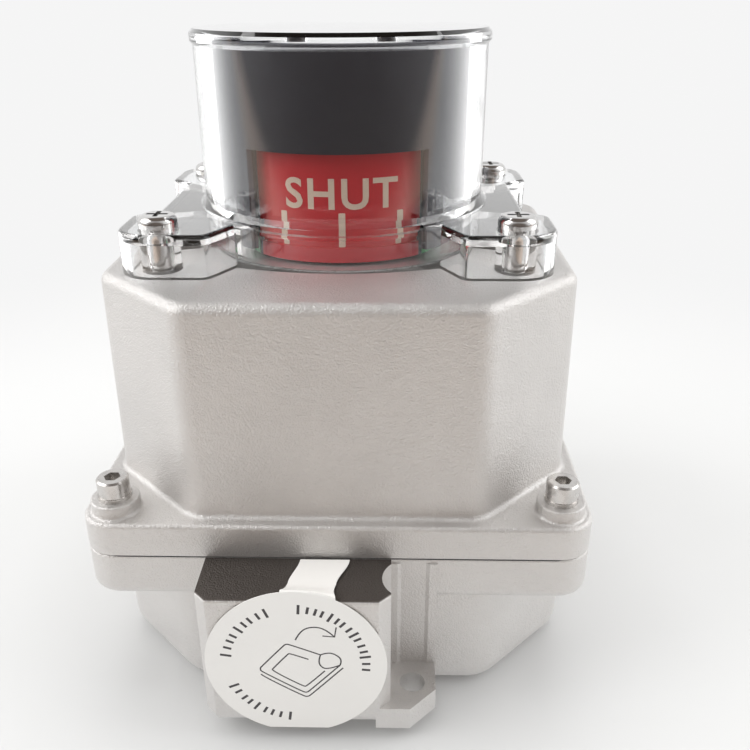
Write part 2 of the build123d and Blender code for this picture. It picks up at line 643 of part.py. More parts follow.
def indicator_shroud():
    """Black cap fixed in the dome, with a window at the front and one at the back."""
    top = Z_DOME_CEILING - SHROUD_TOP_GAP
    bottom = Z_ROOF + SHROUD_BOTTOM
    shell = post(SHROUD_R, bottom, top)
    shell = fillet(shell.edges().group_by(Axis.Z)[-1], 0.8)
    shell -= post(SHROUD_R - SHROUD_WALL, bottom - 1, top - SHROUD_WALL)
    for direction in (-90, 90):
        window = sector(SHROUD_R, WINDOW_HALF_ANGLE, direction)
        shell -= Pos(0, 0, bottom - 1) * extrude(window, WINDOW_TOP - SHROUD_BOTTOM + 1)
    pegs = [post(PEG_R, top - 1, Z_DOME_CEILING + PEG_H, s * PEG_X) for s in (-1, 1)]
    return fuse([shell] + pegs)


def drum_core():
    """Cup that carries the coloured panels, driven by the shaft's flat."""
    z0 = Z_ROOF + DRUM_GAP
    z1 = z0 + DRUM_HEIGHT
    outer = DRUM_R - DRUM_PANEL_T
    seat = z0 + DRUM_SEAT_H
    cup = ring(outer, outer - DRUM_WALL, z0, z1)
    deck = ring(outer, SHAFT_TOP_R, z1 - 2 * DRUM_WALL, z1 - DRUM_WALL)
    hub = post(DRUM_HUB_R, seat, z1 - DRUM_WALL)
    rib = block(DRUM_HUB_R - 1, outer - 1, -DRUM_RIB_T / 2, DRUM_RIB_T / 2, z1 - DRUM_RIB_H, z1 - DRUM_WALL)
    ribs = [Rot(0, 0, 45 + 90 * k) * rib for k in range(4)]
    body = fuse([cup, deck, hub] + ribs)
    return body - shaft_socket(seat - 1, z1)


def shaft_socket(z0, z1):
    """Hole that fits the shaft's flatted top."""
    hole = Circle(SHAFT_TOP_R + RUNNING_FIT) & Rectangle(4 * SHAFT_TOP_R, 2 * (SHAFT_FLAT + RUNNING_FIT))
    return Pos(0, 0, z0) * extrude(hole, z1 - z0)


def drum_panels(direction):
    """A pair of coloured panels on opposite sides of the drum."""
    z0 = Z_ROOF + DRUM_GAP
    rim_top = z0 + DRUM_RIM_H
    inner = DRUM_R - DRUM_PANEL_T + SEAT_GAP
    skin = ring(DRUM_R, inner, z0, z0 + DRUM_HEIGHT)
    rim = ring(DRUM_R + DRUM_RIM, inner, z0, rim_top)
    shell = fuse([skin, rim])
    panels = []
    for side in (0, 180):
        wedge = sector(DRUM_R, PANEL_HALF_ANGLE, direction + side)
        panels.append(shell & Pos(0, 0, z0 - 1) * extrude(wedge, DRUM_HEIGHT + 2))
    return panels


def drum_screw():
    z = Z_ROOF + DRUM_GAP + DRUM_HEIGHT - DRUM_WALL
    screw = pan_screw(DRUM_SCREW_R, DRUM_SCREW_HEAD_R, DRUM_SCREW_HEAD_H, DRUM_SCREW_LENGTH, True)
    return Pos(0, 0, z) * screw


# ------------------------------------------------------------------ shaft and bearings
def main_shaft():
    """Stepped shaft from the keyed drive bore in the base to the flat under the drum."""
    collar_z = HUB_TOP + BUSH_FLANGE_T + AXIAL_PLAY
    drum_seat = Z_ROOF + DRUM_GAP + DRUM_SEAT_H
    top = Z_ROOF + DRUM_GAP + DRUM_HEIGHT - DRUM_WALL - AXIAL_PLAY
    body = fuse([
        post(SHAFT_LOWER_R, SHAFT_END, collar_z + TINY),
        post(SHAFT_COLLAR_R, collar_z, collar_z + SHAFT_COLLAR_T),
        post(SHAFT_R, collar_z, drum_seat),
        Pos(0, 0, drum_seat - 1) * extrude(
            Circle(SHAFT_TOP_R) & Rectangle(4 * SHAFT_TOP_R, 2 * SHAFT_FLAT), top - drum_seat + 1
        ),
    ])
    body -= post(DRIVE_BORE_R, 0, SHAFT_END + DRIVE_BORE_DEPTH)
    key_reach = DRIVE_BORE_R + KEYWAY_DEPTH
    body -= block(0, key_reach, -KEYWAY_W / 2, KEYWAY_W / 2, 0, SHAFT_END + DRIVE_BORE_DEPTH)
    body -= post(DRUM_SCREW_R + THREAD_GAP, top - DRUM_SCREW_LENGTH - 1, top + 1)
    groove_z = BASE_RECESS_H - AXIAL_PLAY - CLIP_T
    body -= ring(SHAFT_LOWER_R + 1, CLIP_GROOVE_R, groove_z - 0.05, groove_z + CLIP_T + 0.05)
    return body


def retaining_clip():
    """Open spring clip in the shaft's groove, under the floor's lip."""
    z = BASE_RECESS_H - AXIAL_PLAY - CLIP_T
    clip = ring(CLIP_R, CLIP_GROOVE_R + SEAT_GAP, z, z + CLIP_T)
    clip -= block(-CLIP_MOUTH / 2, CLIP_MOUTH / 2, 0, CLIP_R + 1, z - 1, z + CLIP_T + 1)
    return fillet(clip.edges().filter_by(Axis.Z), CLIP_EDGE_R)


def lower_bushing():
    bore = SHAFT_LOWER_R + RUNNING_FIT
    sleeve = ring(SHAFT_LOWER_R + BUSH_WALL, bore, BASE_RECESS_H + LIP_T + SEAL_H, HUB_TOP + 1)
    flange = ring(BUSH_FLANGE_R, bore, HUB_TOP, HUB_TOP + BUSH_FLANGE_T)
    return fuse([sleeve, flange])


def upper_bushing():
    z0 = Z_CEILING - ROOF_HUB_DROP + LIP_T
    return ring(SHAFT_R + BUSH_WALL, SHAFT_R + RUNNING_FIT, z0, Z_ROOF - SEAL_H)


def shaft_seals():
    """Seal rings on the shaft, one in the floor and one in the roof."""
    lower_z = BASE_RECESS_H + LIP_T
    lower = ring(SHAFT_LOWER_R + BUSH_WALL, SHAFT_LOWER_R + SEAL_GAP, lower_z, lower_z + SEAL_H)
    upper = ring(SHAFT_R + BUSH_WALL, SHAFT_R + SEAL_GAP, Z_ROOF - SEAL_H, Z_ROOF)
    return [lower, upper]


# ------------------------------------------------------------------ cams and switches
def lever_angle(rising, turn):
    """Direction of a lever from its pivot, in degrees, at a turn of the shaft."""
    reach = CAM_R + ROLLER_R + ROLLER_GAP
    base = math.hypot(LEVER_PIVOT_X, LEVER_PIVOT_Y)
    to_shaft = math.degrees(math.atan2(-LEVER_PIVOT_Y, -LEVER_PIVOT_X))
    spread = (base**2 + LEVER_LENGTH**2 - reach**2) / (2 * base * LEVER_LENGTH)
    released = to_shaft - math.degrees(math.acos(spread))
    share = turn / SHAFT_TURN
    return released - LEVER_TRAVEL * (share if rising else 1 - share)


def roller_centre(rising, turn):
    angle = math.radians(lever_angle(rising, turn))
    x = LEVER_PIVOT_X + LEVER_LENGTH * math.cos(angle)
    y = LEVER_PIVOT_Y + LEVER_LENGTH * math.sin(angle)
    return x, y


def cam_profile(rising):
    """Spiral cam that moves its lever evenly with the shaft's turn."""
    count = 12
    points = []
    for i in range(count + 1):
        turn = SHAFT_TURN + CAM_LEAD - i * (SHAFT_TURN + 2 * CAM_LEAD) / count
        x, y = roller_centre(rising, turn)
        radius = math.hypot(x, y) - ROLLER_R - ROLLER_GAP
        angle = math.atan2(y, x) - math.radians(turn)
        points.append((radius * math.cos(angle), radius * math.sin(angle)))
    first = math.atan2(points[0][1], points[0][0])
    last = math.atan2(points[-1][1], points[-1][0])
    middle = (first + last) / 2 + math.pi
    back = (CAM_BACK_R * math.cos(middle), CAM_BACK_R * math.sin(middle))
    return make_face(Spline(*points) + ThreePointArc(points[-1], back, points[0]))


def cam(rising, z):
    """One cam disc with its fine-toothed bore and two finger ribs."""
    disc = Pos(0, 0, z - CAM_T / 2) * extrude(cam_profile(rising), CAM_T)
    return disc - post(CAM_SLEEVE_R + SEAT_GAP, z - CAM_T, z + CAM_T)


def cam_sleeve():
    """Sleeve that clamps on the shaft and carries both cams."""
    z0 = LOWER_CAM_Z - CAM_T / 2 - CAM_COLLAR_T
    body = ring(CAM_SLEEVE_R, SHAFT_R + SEAT_GAP, z0, z0 + CAM_SLEEVE_LENGTH)
    foot = ring(CAM_SPACER_R, SHAFT_R + SEAT_GAP, z0, z0 + CAM_COLLAR_T)
    return fuse([body, foot])


def cam_spacer():
    z0 = LOWER_CAM_Z + CAM_T / 2
    return ring(CAM_SPACER_R, CAM_SLEEVE_R + SEAT_GAP, z0, UPPER_CAM_Z - CAM_T / 2)


def cam_collar():
    """Retaining collar over the upper cam."""
    z0 = UPPER_CAM_Z + CAM_T / 2
    return ring(CAM_SPACER_R, CAM_SLEEVE_R + SEAT_GAP, z0, z0 + CAM_COLLAR_T)


def microswitch(z):
    """Snap-action switch with three blade terminals, lever ears and two mounting holes."""
    x0 = SWITCH_FACE_X
    x1 = x0 + SWITCH_DEPTH
    half = SWITCH_LENGTH / 2
    case = block(x0, x1, -half, half, z - SWITCH_T / 2, z + SWITCH_T / 2)
    case = chamfer(case.edges().filter_by(Axis.Z), 0.8)
    for s in (-1, 1):
        case -= post(SWITCH_HOLE_R, z - SWITCH_T, z + SWITCH_T, SWITCH_HOLE_X, s * SWITCH_HOLE_Y)
    blade = block(x1 - 1, x1 + BLADE_LENGTH, -0.4, 0.4, z - 3.2, z + 3.2)
    blades = [Pos(0, k * BLADE_PITCH, 0) * blade for k in (-1, 0, 1)]
    ears = []
    for s in (-1, 1):
        low, high = sorted((z + s * (LEVER_W / 2 + EAR_GAP), z + s * (LEVER_W / 2 + EAR_GAP + EAR_T)))
        y0 = LEVER_PIVOT_Y - LEVER_EYE_R
        ear = block(LEVER_PIVOT_X, x0 + 1, y0, y0 + 2 * LEVER_EYE_R, low, high)
        ears.append(ear + post(LEVER_EYE_R, low, high, LEVER_PIVOT_X, LEVER_PIVOT_Y))
    pin_reach = LEVER_W / 2 + EAR_GAP + EAR_T
    pin = post(PIVOT_R, z - pin_reach, z + pin_reach, LEVER_PIVOT_X, LEVER_PIVOT_Y)
    return fuse([case] + blades + ears + [pin])


def switch_lever(rising, z):
    """Lever arm with its hinge eye and roller."""
    half = LEVER_W / 2
    arm = block(0, LEVER_LENGTH, -LEVER_T / 2, LEVER_T / 2, -half, half)
    arm += post(LEVER_EYE_R, -half, half)
    arm += post(ROLLER_R, -half, half, LEVER_LENGTH)
    arm -= post(PIVOT_R + RUNNING_FIT, -half - 1, half + 1)
    return Pos(LEVER_PIVOT_X, LEVER_PIVOT_Y, z) * Rot(0, 0, lever_angle(rising, 0)) * arm


def switch_bracket():
    """Bent sheet bracket: foot on the tub's posts, upright, and a shelf for the switches."""
    shelf_z = LOWER_CAM_Z - SWITCH_T / 2
    upright_x = BRACKET_POST_X - BRACKET_FOOT_INNER
    foot_x = BRACKET_POST_X + BRACKET_FOOT_OUTER
    half = BRACKET_WIDTH / 2
    foot = block(upright_x, foot_x, -half, half, BRACKET_FOOT_Z, BRACKET_FOOT_Z + SHEET_T)
    upright = block(upright_x, upright_x + SHEET_T, -half, half, BRACKET_FOOT_Z, shelf_z)
    shelf = block(SWITCH_FACE_X + 0.5, upright_x + SHEET_T, -half, half, shelf_z - SHEET_T, shelf_z)
    body = fuse([foot, upright, shelf])
    foot_hole = post(SMALL_SCREW_R + SCREW_HOLE_GAP, -SHEET_T, 2 * SHEET_T)
    shelf_hole = post(SMALL_SCREW_R + THREAD_GAP, -2 * SHEET_T, SHEET_T)
    for s in (-1, 1):
        body -= Pos(BRACKET_POST_X, s * BRACKET_POST_Y, BRACKET_FOOT_Z) * foot_hole
        body -= Pos(SWITCH_HOLE_X, s * SWITCH_HOLE_Y, shelf_z) * shelf_hole
    return body


def switch_spacers():
    z0 = LOWER_CAM_Z + SWITCH_T / 2
    z1 = UPPER_CAM_Z - SWITCH_T / 2
    outer = 2 * SWITCH_HOLE_R
    return [ring(outer, SWITCH_HOLE_R, z0, z1, SWITCH_HOLE_X, s * SWITCH_HOLE_Y) for s in (-1, 1)]


def switch_screws():
    top = UPPER_CAM_Z + SWITCH_T / 2
    length = SWITCH_PITCH + SWITCH_T + SHEET_T
    screw = pan_screw(SMALL_SCREW_R, SMALL_HEAD_R, SMALL_HEAD_H, length, False)
    return [Pos(SWITCH_HOLE_X, s * SWITCH_HOLE_Y, top) * screw for s in (-1, 1)]


def bracket_screws():
    screw = pan_screw(SMALL_SCREW_R, SMALL_HEAD_R, SMALL_HEAD_H, SHEET_T + SMALL_LENGTH, False)
    return [Pos(BRACKET_POST_X, s * BRACKET_POST_Y, BRACKET_FOOT_Z + SHEET_T) * screw for s in (-1, 1)]


# ------------------------------------------------------------------ terminal strip and earth
def terminal_strip():
    """Barrier terminal strip: stepped block with a wall between the ways."""
    run = STRIP_WAYS * STRIP_PITCH
    half = STRIP_WIDTH / 2
    reach = run / 2 + STRIP_END
    z1 = STRIP_Z + STRIP_H
    body = block(STRIP_X - half, STRIP_X + half, -reach, reach, STRIP_Z, STRIP_Z + STRIP_BASE_H)
    body += block(STRIP_X - STRIP_SPINE_T / 2, STRIP_X + STRIP_SPINE_T / 2, -run / 2, run / 2, STRIP_Z, z1)
    for i in range(STRIP_WAYS + 1):
        y = -run / 2 + i * STRIP_PITCH
        body += block(STRIP_X - half, STRIP_X + half, y - BARRIER_T / 2, y + BARRIER_T / 2, STRIP_Z, z1)
    body += block(STRIP_X - half, STRIP_X + half, -run / 2, run / 2, STRIP_Z, STRIP_Z + TERMINAL_STEP)
    for s in (-1, 1):
        body -= post(SMALL_SCREW_R + SCREW_HOLE_GAP, STRIP_Z - 1, z1, STRIP_X, s * strip_screw_y())
    for x, y in terminal_places():
        body -= post(SMALL_SCREW_R + THREAD_GAP, STRIP_Z + 1, STRIP_Z + TERMINAL_STEP + 1, x, y)
    return body


def terminal_places():
    """Two rows of terminals, midway between the spine and the strip's edges."""
    from_middle = (STRIP_WIDTH + STRIP_SPINE_T) / 4
    start = (1 - STRIP_WAYS) * STRIP_PITCH / 2
    rows = [start + i * STRIP_PITCH for i in range(STRIP_WAYS)]
    return [(STRIP_X + s * from_middle, y) for s in (-1, 1) for y in rows]


def terminal_screws():
    """Two rows of clamp screws with a slot."""
    head = post(TERMINAL_HEAD_R, 0, TERMINAL_HEAD_H)
    screw = fuse([head, post(SMALL_SCREW_R, -TERMINAL_DEPTH, TERMINAL_HEAD_H / 2)])
    screw -= Pos(0, 0, TERMINAL_HEAD_H) * Box(3 * TERMINAL_HEAD_R, 0.6, 1.6)
    return [Pos(x, y, STRIP_Z + TERMINAL_STEP) * screw for x, y in terminal_places()]


def strip_screws():
    screw = pan_screw(SMALL_SCREW_R, SMALL_HEAD_R, SMALL_HEAD_H, STRIP_BASE_H + SMALL_LENGTH, False)
    return [Pos(STRIP_X, s * strip_screw_y(), STRIP_Z + STRIP_BASE_H) * screw for s in (-1, 1)]


def earth_screw():
    screw = pan_screw(DRUM_SCREW_R, DRUM_SCREW_HEAD_R, DRUM_SCREW_HEAD_H, EARTH_DEPTH, True)
    return Pos(EARTH_X, EARTH_Y, EARTH_PAD_TOP) * screw


# ------------------------------------------------------------------ paper seal
def conduit_seal_label():
    """Round paper seal over the conduit entry, with a strap folded back over the boss."""
    y_back = Y_BOSS - LABEL_LIFT
    cx = BOSS_X + LABEL_X
    cz = Z_PARTING - LABEL_DROP
    cut = BOSS_BOTTOM + LABEL_MARGIN - cz
    disc = Circle(LABEL_R) & Pos(0, LABEL_R + cut) * Rectangle(2 * LABEL_R, 2 * LABEL_R)
    disc = Pos(cx, y_back, cz) * (Rot(90, 0, 0) * extrude(disc, LABEL_T))
    top = cz + LABEL_R - 1.2
    strap_x = BOSS_X + STRAP_X
    rest = Z_PARTING + LABEL_LIFT
    y_end = Y_FLANGE - STRAP_END_GAP
    y_bend = Y_BOSS + STRAP_BEND
    side = Polyline(
        (y_back, top),
        (y_bend, rest + LABEL_T),
        (y_end, rest + LABEL_T),
        (y_end, rest),
        (y_bend - 0.2, rest),
        (y_back, top - LABEL_T),
        (y_back - LABEL_T, top - LABEL_T),
        (y_back - LABEL_T, top),
        close=True,
    )
    reach = STRAP_WIDTH + 2 * STRAP_SKEW
    strap = Pos(strap_x - reach, 0, 0) * extrude(Plane.YZ * make_face(side), 2 * reach)
    plan = Polyline(
        (strap_x - STRAP_WIDTH / 2, y_back - 1),
        (strap_x + STRAP_WIDTH / 2, y_back - 1),
        (strap_x + STRAP_WIDTH / 2 + STRAP_SKEW, y_end + 1),
        (strap_x - STRAP_WIDTH / 2 + STRAP_SKEW, y_end + 1),
        close=True,
    )
    strap &= extrude(make_face(plan), 2 * Z_PARTING)
    return fuse([disc, strap])


# ------------------------------------------------------------------ write every node
PARTS = {
    "lower_housing": lower_housing,
    "cover_housing": cover_housing,
    "cover_gasket": cover_gasket,
    "cover_bolts": cover_bolts,
    "bolt_washers": bolt_washers,
    "indicator_dome": indicator_dome,
    "dome_screws": dome_screws,
    "dome_seal": dome_seal,
    "indicator_shroud": indicator_shroud,
    "drum_core": drum_core,
    "red_panels": lambda: drum_panels(-90),
    "green_panels": lambda: drum_panels(0),
    "drum_screw": drum_screw,
    "main_shaft": main_shaft,
    "retaining_clip": retaining_clip,
    "lower_bushing": lower_bushing,
    "upper_bushing": upper_bushing,
    "shaft_seals": shaft_seals,
    "cam_sleeve": cam_sleeve,
    "lower_cam": lambda: cam(False, LOWER_CAM_Z),
    "cam_spacer": cam_spacer,
    "upper_cam": lambda: cam(True, UPPER_CAM_Z),
    "cam_collar": cam_collar,
    "lower_switch": lambda: microswitch(LOWER_CAM_Z),
    "upper_switch": lambda: microswitch(UPPER_CAM_Z),
    "lower_switch_lever": lambda: switch_lever(False, LOWER_CAM_Z),
    "upper_switch_lever": lambda: switch_lever(True, UPPER_CAM_Z),
    "switch_bracket": switch_bracket,
    "switch_spacers": switch_spacers,
    "switch_screws": switch_screws,
    "bracket_screws": bracket_screws,
    "terminal_strip": terminal_strip,
    "terminal_screws": terminal_screws,
    "strip_screws": strip_screws,
    "earth_screw": earth_screw,
    "conduit_seal_label": conduit_seal_label,
}


def main():
    os.makedirs("parts", exist_ok=True)
    for name, make in PARTS.items():
        shape = make()
        solids = shape if isinstance(shape, list) else [shape]
        solids = [solid for item in solids for solid in item.solids()]
        node = solids[0] if len(solids) == 1 else Compound(children=solids)
        node.label = name
        export_step(node, f"parts/{name}.step")


if __name__ == "__main__":
    main()
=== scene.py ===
"""Finishes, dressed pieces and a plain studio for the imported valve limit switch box.

Lengths are metres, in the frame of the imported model: +Z up along the shaft, -Y towards the conduit entry.
"""
import json
import math

import bmesh
import bpy
from bpy.props import FloatProperty, FloatVectorProperty, PointerProperty, StringProperty
from mathutils import Matrix, Vector


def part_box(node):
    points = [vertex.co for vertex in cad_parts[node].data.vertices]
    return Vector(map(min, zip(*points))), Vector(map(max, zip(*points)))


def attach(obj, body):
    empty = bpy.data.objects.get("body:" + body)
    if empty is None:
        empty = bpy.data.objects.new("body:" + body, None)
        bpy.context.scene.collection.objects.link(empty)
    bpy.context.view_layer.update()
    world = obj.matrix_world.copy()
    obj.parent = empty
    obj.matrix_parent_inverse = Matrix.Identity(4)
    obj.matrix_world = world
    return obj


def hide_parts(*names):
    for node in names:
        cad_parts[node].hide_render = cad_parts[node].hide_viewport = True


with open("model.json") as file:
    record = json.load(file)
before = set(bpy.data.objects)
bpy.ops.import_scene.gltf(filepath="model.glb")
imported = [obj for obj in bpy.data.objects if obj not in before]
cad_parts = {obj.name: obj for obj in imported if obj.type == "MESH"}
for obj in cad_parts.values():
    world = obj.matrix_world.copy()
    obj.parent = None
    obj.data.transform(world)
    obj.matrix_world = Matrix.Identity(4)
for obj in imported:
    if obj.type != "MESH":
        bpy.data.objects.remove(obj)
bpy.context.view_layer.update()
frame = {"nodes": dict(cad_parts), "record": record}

bl_info = {
    "name": "Valve limit switch box",
    "version": (1, 0, 0),
    "blender": (4, 5, 0),
    "location": "View3D > Sidebar > Switch box",
    "description": "Dresses the packed model of a valve limit switch box",
    "category": "Object",
}

MM = 0.001
ORIGIN = (0.0, 0.0, 0.0)
ON_SHAFT = (0.0, 0.0)                          # offset of pieces turned about the shaft
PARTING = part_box("lower_housing")[1].z         # plane where the castings meet
FLANGE_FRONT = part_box("cover_housing")[0].y    # front face of the flanges
BOLT_HEAD_R = 4.4 * MM
DOME_SCREW_HEAD_R = 5.3 * MM

# print and strips on the drum
PRINT_SKIN = 0.5 * MM            # the printed face lies this far inside the panels' box
WORD_MIDDLE = 18.7 * MM          # above the panels' lower edge
MARK_FOOT = 4.3 * MM
MARK_HEAD = 13.6 * MM
MARK_ANGLES = (-29.0, 0.0, 29.0)
DRUM_OFF_CENTRE = 2.0            # degrees
MARK_CORNER = 0.25 * MM
STRIP_HALF_ANGLE = 2.5           # degrees
STRIP_ASIDE = 0.6                # degrees, away from the red panels' edges
STRIP_THICKNESS = 0.32 * MM

# paper seal
DISC_RADIUS = 24.0 * MM
DISC_DROP = 20.5 * MM            # the disc's middle below the parting plane
DISC_SET_BACK = 0.24 * MM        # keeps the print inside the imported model's box
STRAP_SIDES = (-3.4 * MM, 11.0 * MM)
STRAP_END_X = -2.9 * MM
STRAP_END_WIDTH = 13.4 * MM
STRAP_END_GAP = 1.1 * MM
STRAP_HEIGHT = 0.35 * MM
STRAP_KNEE_BACK = 6.5 * MM
STRAP_ROWS = 14
STRAP_STEP = 1.0 * MM
TICK_RUNS = ((-98.0, 9, 7.2), (-190.0, 9, 7.2), (-275.0, 15, 6.4))    # first angle, count, step
SHORT_TICK = (17.4, 19.6)        # radii in mm
LONG_TICK = (17.0, 20.0)
TICK_WEIGHT = 1.75               # share of the line's width
DRAWING_WEIGHT = 0.95
PRINT_FLATNESS = 0.08

# thread and joint line
THREAD_SHARE = 0.8               # share of the entry's length that is threaded
THREAD_START = 1.5 * MM
THREAD_SUNK = 0.05 * MM
THREAD_STEPS = 64
JOINT_SET_BACK = 0.16 * MM
JOINT_CORNER = 10.6 * MM
JOINT_WIDTH = 0.3 * MM

# studio
WHITE = (1.0, 1.0, 1.0)
BACKGROUND = (0.915, 0.915, 0.915)
ROOM_DIM = (0.15, 0.125, 0.11)
FLOOR_WARM = (1.0, 0.82, 0.69)
FLOOR_DIM = (0.12, 0.10, 0.09)
FLOOR_GLEAM = 0.3                # least share of the glow in the floor's reflection


# ------------------------------------------------------------------ settings
def colour(name, description, default):
    """A colour setting."""
    return FloatVectorProperty(
        name=name, description=description, default=default, size=3, min=0.0, max=1.0, subtype="COLOR"
    )


def length(name, description, default):
    """A length setting."""
    return FloatProperty(
        name=name, description=description, default=default, min=0.0, unit="LENGTH", subtype="DISTANCE"
    )


class SwitchBoxColours(bpy.types.PropertyGroup):
    """Colours of the finishes."""

    cast_steel: colour("Cast steel", "Bead-blasted casting", (0.73, 0.712, 0.695))
    # shade and a dark reflection painted on the top of the conduit boss
    painted_shade_steel: colour("Shaded steel", "Dark top of the conduit boss", (0.13, 0.115, 0.105))
    machined_steel: colour("Machined steel", "Bolts and washers", (0.64, 0.62, 0.60))
    polished_steel: colour("Polished steel", "Dome screws", (0.74, 0.73, 0.72))
    red: colour("Red", "Panels that show the closed position", (0.56, 0.022, 0.03))
    green: colour("Green", "Panels that show the open position", (0.02, 0.27, 0.075))
    black: colour("Black", "Shroud and drum", (0.019, 0.02, 0.027))
    print: colour("Print", "Words and marks on the drum", (0.74, 0.60, 0.48))
    paper: colour("Paper", "Seal over the conduit entry", (0.80, 0.78, 0.75))
    ink: colour("Ink", "Marks on the paper seal", (0.045, 0.04, 0.042))
    floor: colour("Floor", "Studio floor", (0.62, 0.62, 0.615))


class SwitchBoxSizes(bpy.types.PropertyGroup):
    """Words and sizes of the dressed pieces."""

    red_word: StringProperty(name="Red word", description="Word on the red panels", default="SHUT")
    green_word: StringProperty(name="Green word", description="Word on the green panels", default="OPEN")
    word_height: length("Word height", "Capital height of the words on the drum", 8.4 * MM)
    word_width: length("Word width", "Width of a word along the drum", 31.0 * MM)
    print_thickness: length("Print thickness", "Thickness of printed words and marks", 0.08 * MM)
    mark_width: length("Mark width", "Width of the upright marks under a word", 1.8 * MM)
    paper_thickness: length("Paper thickness", "Thickness of the paper seal", 0.2 * MM)
    line_width: length("Line width", "Width of the lines printed on the paper seal", 0.42 * MM)
    thread_pitch: length("Thread pitch", "Pitch of the conduit thread", 1.8 * MM)
    thread_depth: length("Thread depth", "Depth of the conduit thread", 0.9 * MM)
    joint_line: length("Joint line", "Height of the dark line between the castings", 0.34 * MM)
    lens: FloatProperty(
        name="Lens", description="Focal length of the camera", default=39.53, min=10.0, unit="CAMERA"
    )


# ------------------------------------------------------------------ shader node helpers
def new_material(name):
    """An empty node material with a Principled shader, and both."""
    material = bpy.data.materials.new(name)
    material.use_nodes = True
    shader = material.node_tree.nodes["Principled BSDF"]
    return material, material.node_tree, shader


def add_node(tree, kind, inputs=None, **settings):
    """A node with its settings and the values of its unlinked inputs."""
    node = tree.nodes.new(kind)
    for key, value in settings.items():
        setattr(node, key, value)
    for key, value in (inputs or {}).items():
        node.inputs[key].default_value = value
    return node


def link(tree, source, target):
    """Joins an output to an input."""
    tree.links.new(source, target)


def math_node(tree, operation, a, b=None):
    """Output of a maths node on two sockets or numbers."""
    node = add_node(tree, "ShaderNodeMath", operation=operation)
    for socket, value in zip(node.inputs, (a, b)):
        if isinstance(value, bpy.types.NodeSocket):
            link(tree, value, socket)
        elif value is not None:
            socket.default_value = value
    return node.outputs[0]


def mix_colour(tree, factor, a, b):
    """Output of a colour mix on sockets or colours."""
    node = add_node(tree, "ShaderNodeMix", data_type="RGBA")
    for socket, value in ((node.inputs[0], factor), (node.inputs[6], a), (node.inputs[7], b)):
        if isinstance(value, bpy.types.NodeSocket):
            link(tree, value, socket)
        else:
            socket.default_value = (*value, 1.0) if hasattr(value, "__len__") else value
    return node.outputs[2]


def ranged(tree, value, low, high):
    """Maps a 0 to 1 socket to low to high."""
    node = add_node(tree, "ShaderNodeMapRange", {"To Min": low, "To Max": high})
    link(tree, value, node.inputs["Value"])
    return node.outputs["Result"]


def smooth_step(tree, value, start, end):
    """0 at the start and 1 at the end, smoothly."""
    node = add_node(tree, "ShaderNodeMapRange", {"From Min": start, "From Max": end})
    node.interpolation_type = "SMOOTHSTEP"
    link(tree, value, node.inputs["Value"])
    return node.outputs["Result"]


def separated(tree, vector):
    """The X, Y and Z outputs of a vector."""
    split = tree.nodes.new("ShaderNodeSeparateXYZ")
    link(tree, vector, split.inputs[0])
    return split.outputs


def object_coordinates(tree):
    """Place on the piece, which moves with it."""
    return add_node(tree, "ShaderNodeTexCoord").outputs["Object"]


def noise(tree, vector, scale, detail):
    """A noise pattern."""
    node = add_node(tree, "ShaderNodeTexNoise", {"Scale": scale, "Detail": detail, "Roughness": 0.5})
    link(tree, vector, node.inputs["Vector"])
    return node.outputs["Fac"]


def bump(tree, height, strength, distance):
    """A normal tilted by a height."""
    node = add_node(tree, "ShaderNodeBump", {"Strength": strength, "Distance": distance})
    link(tree, height, node.inputs["Height"])
    return node.outputs["Normal"]


def new_group(name, inputs, outputs):
    """A shader node group with named float inputs and outputs, and its input and output nodes."""
    group = bpy.data.node_groups.new(name, "ShaderNodeTree")
    for label, kind, default in inputs:
        socket = group.interface.new_socket(label, in_out="INPUT", socket_type=kind)
        if default is not None:
            socket.default_value = default
    for label, kind in outputs:
        group.interface.new_socket(label, in_out="OUTPUT", socket_type=kind)
    return group, group.nodes.new("NodeGroupInput"), group.nodes.new("NodeGroupOutput")


def use_group(tree, group, **values):
    """A shared effect in a tree, with its inputs named with underscores for spaces."""
    node = tree.nodes.new("ShaderNodeGroup")
    node.node_tree = group
    for label, value in values.items():
        node.inputs[label.replace("_", " ")].default_value = value
    return node


# ------------------------------------------------------------------ shared effects
def surface_grain_group():
    """Fine grain on object coordinates: a height, and a slow cloudy tone."""
    group, inputs, outputs = new_group(
        "surface grain",
        [("Grain scale", "NodeSocketFloat", 900.0), ("Cloud scale", "NodeSocketFloat", 22.0)],
        [("Height", "NodeSocketFloat"), ("Tone", "NodeSocketFloat")],
    )
    place = object_coordinates(group)
    fine = add_node(group, "ShaderNodeTexNoise", {"Detail": 3.0, "Roughness": 0.6})
    coarse = add_node(group, "ShaderNodeTexNoise", {"Detail": 2.0, "Roughness": 0.5})
    cloud = add_node(group, "ShaderNodeTexNoise", {"Detail": 3.0, "Roughness": 0.55})
    for node in (fine, coarse, cloud):
        link(group, place, node.inputs["Vector"])
    link(group, inputs.outputs["Grain scale"], fine.inputs["Scale"])
    link(group, math_node(group, "MULTIPLY", inputs.outputs["Grain scale"], 0.35), coarse.inputs["Scale"])
    link(group, inputs.outputs["Cloud scale"], cloud.inputs["Scale"])
    swell = math_node(group, "MULTIPLY", coarse.outputs["Fac"], 0.5)
    link(group, math_node(group, "ADD", fine.outputs["Fac"], swell), outputs.inputs["Height"])
    link(group, cloud.outputs["Fac"], outputs.inputs["Tone"])
    return group


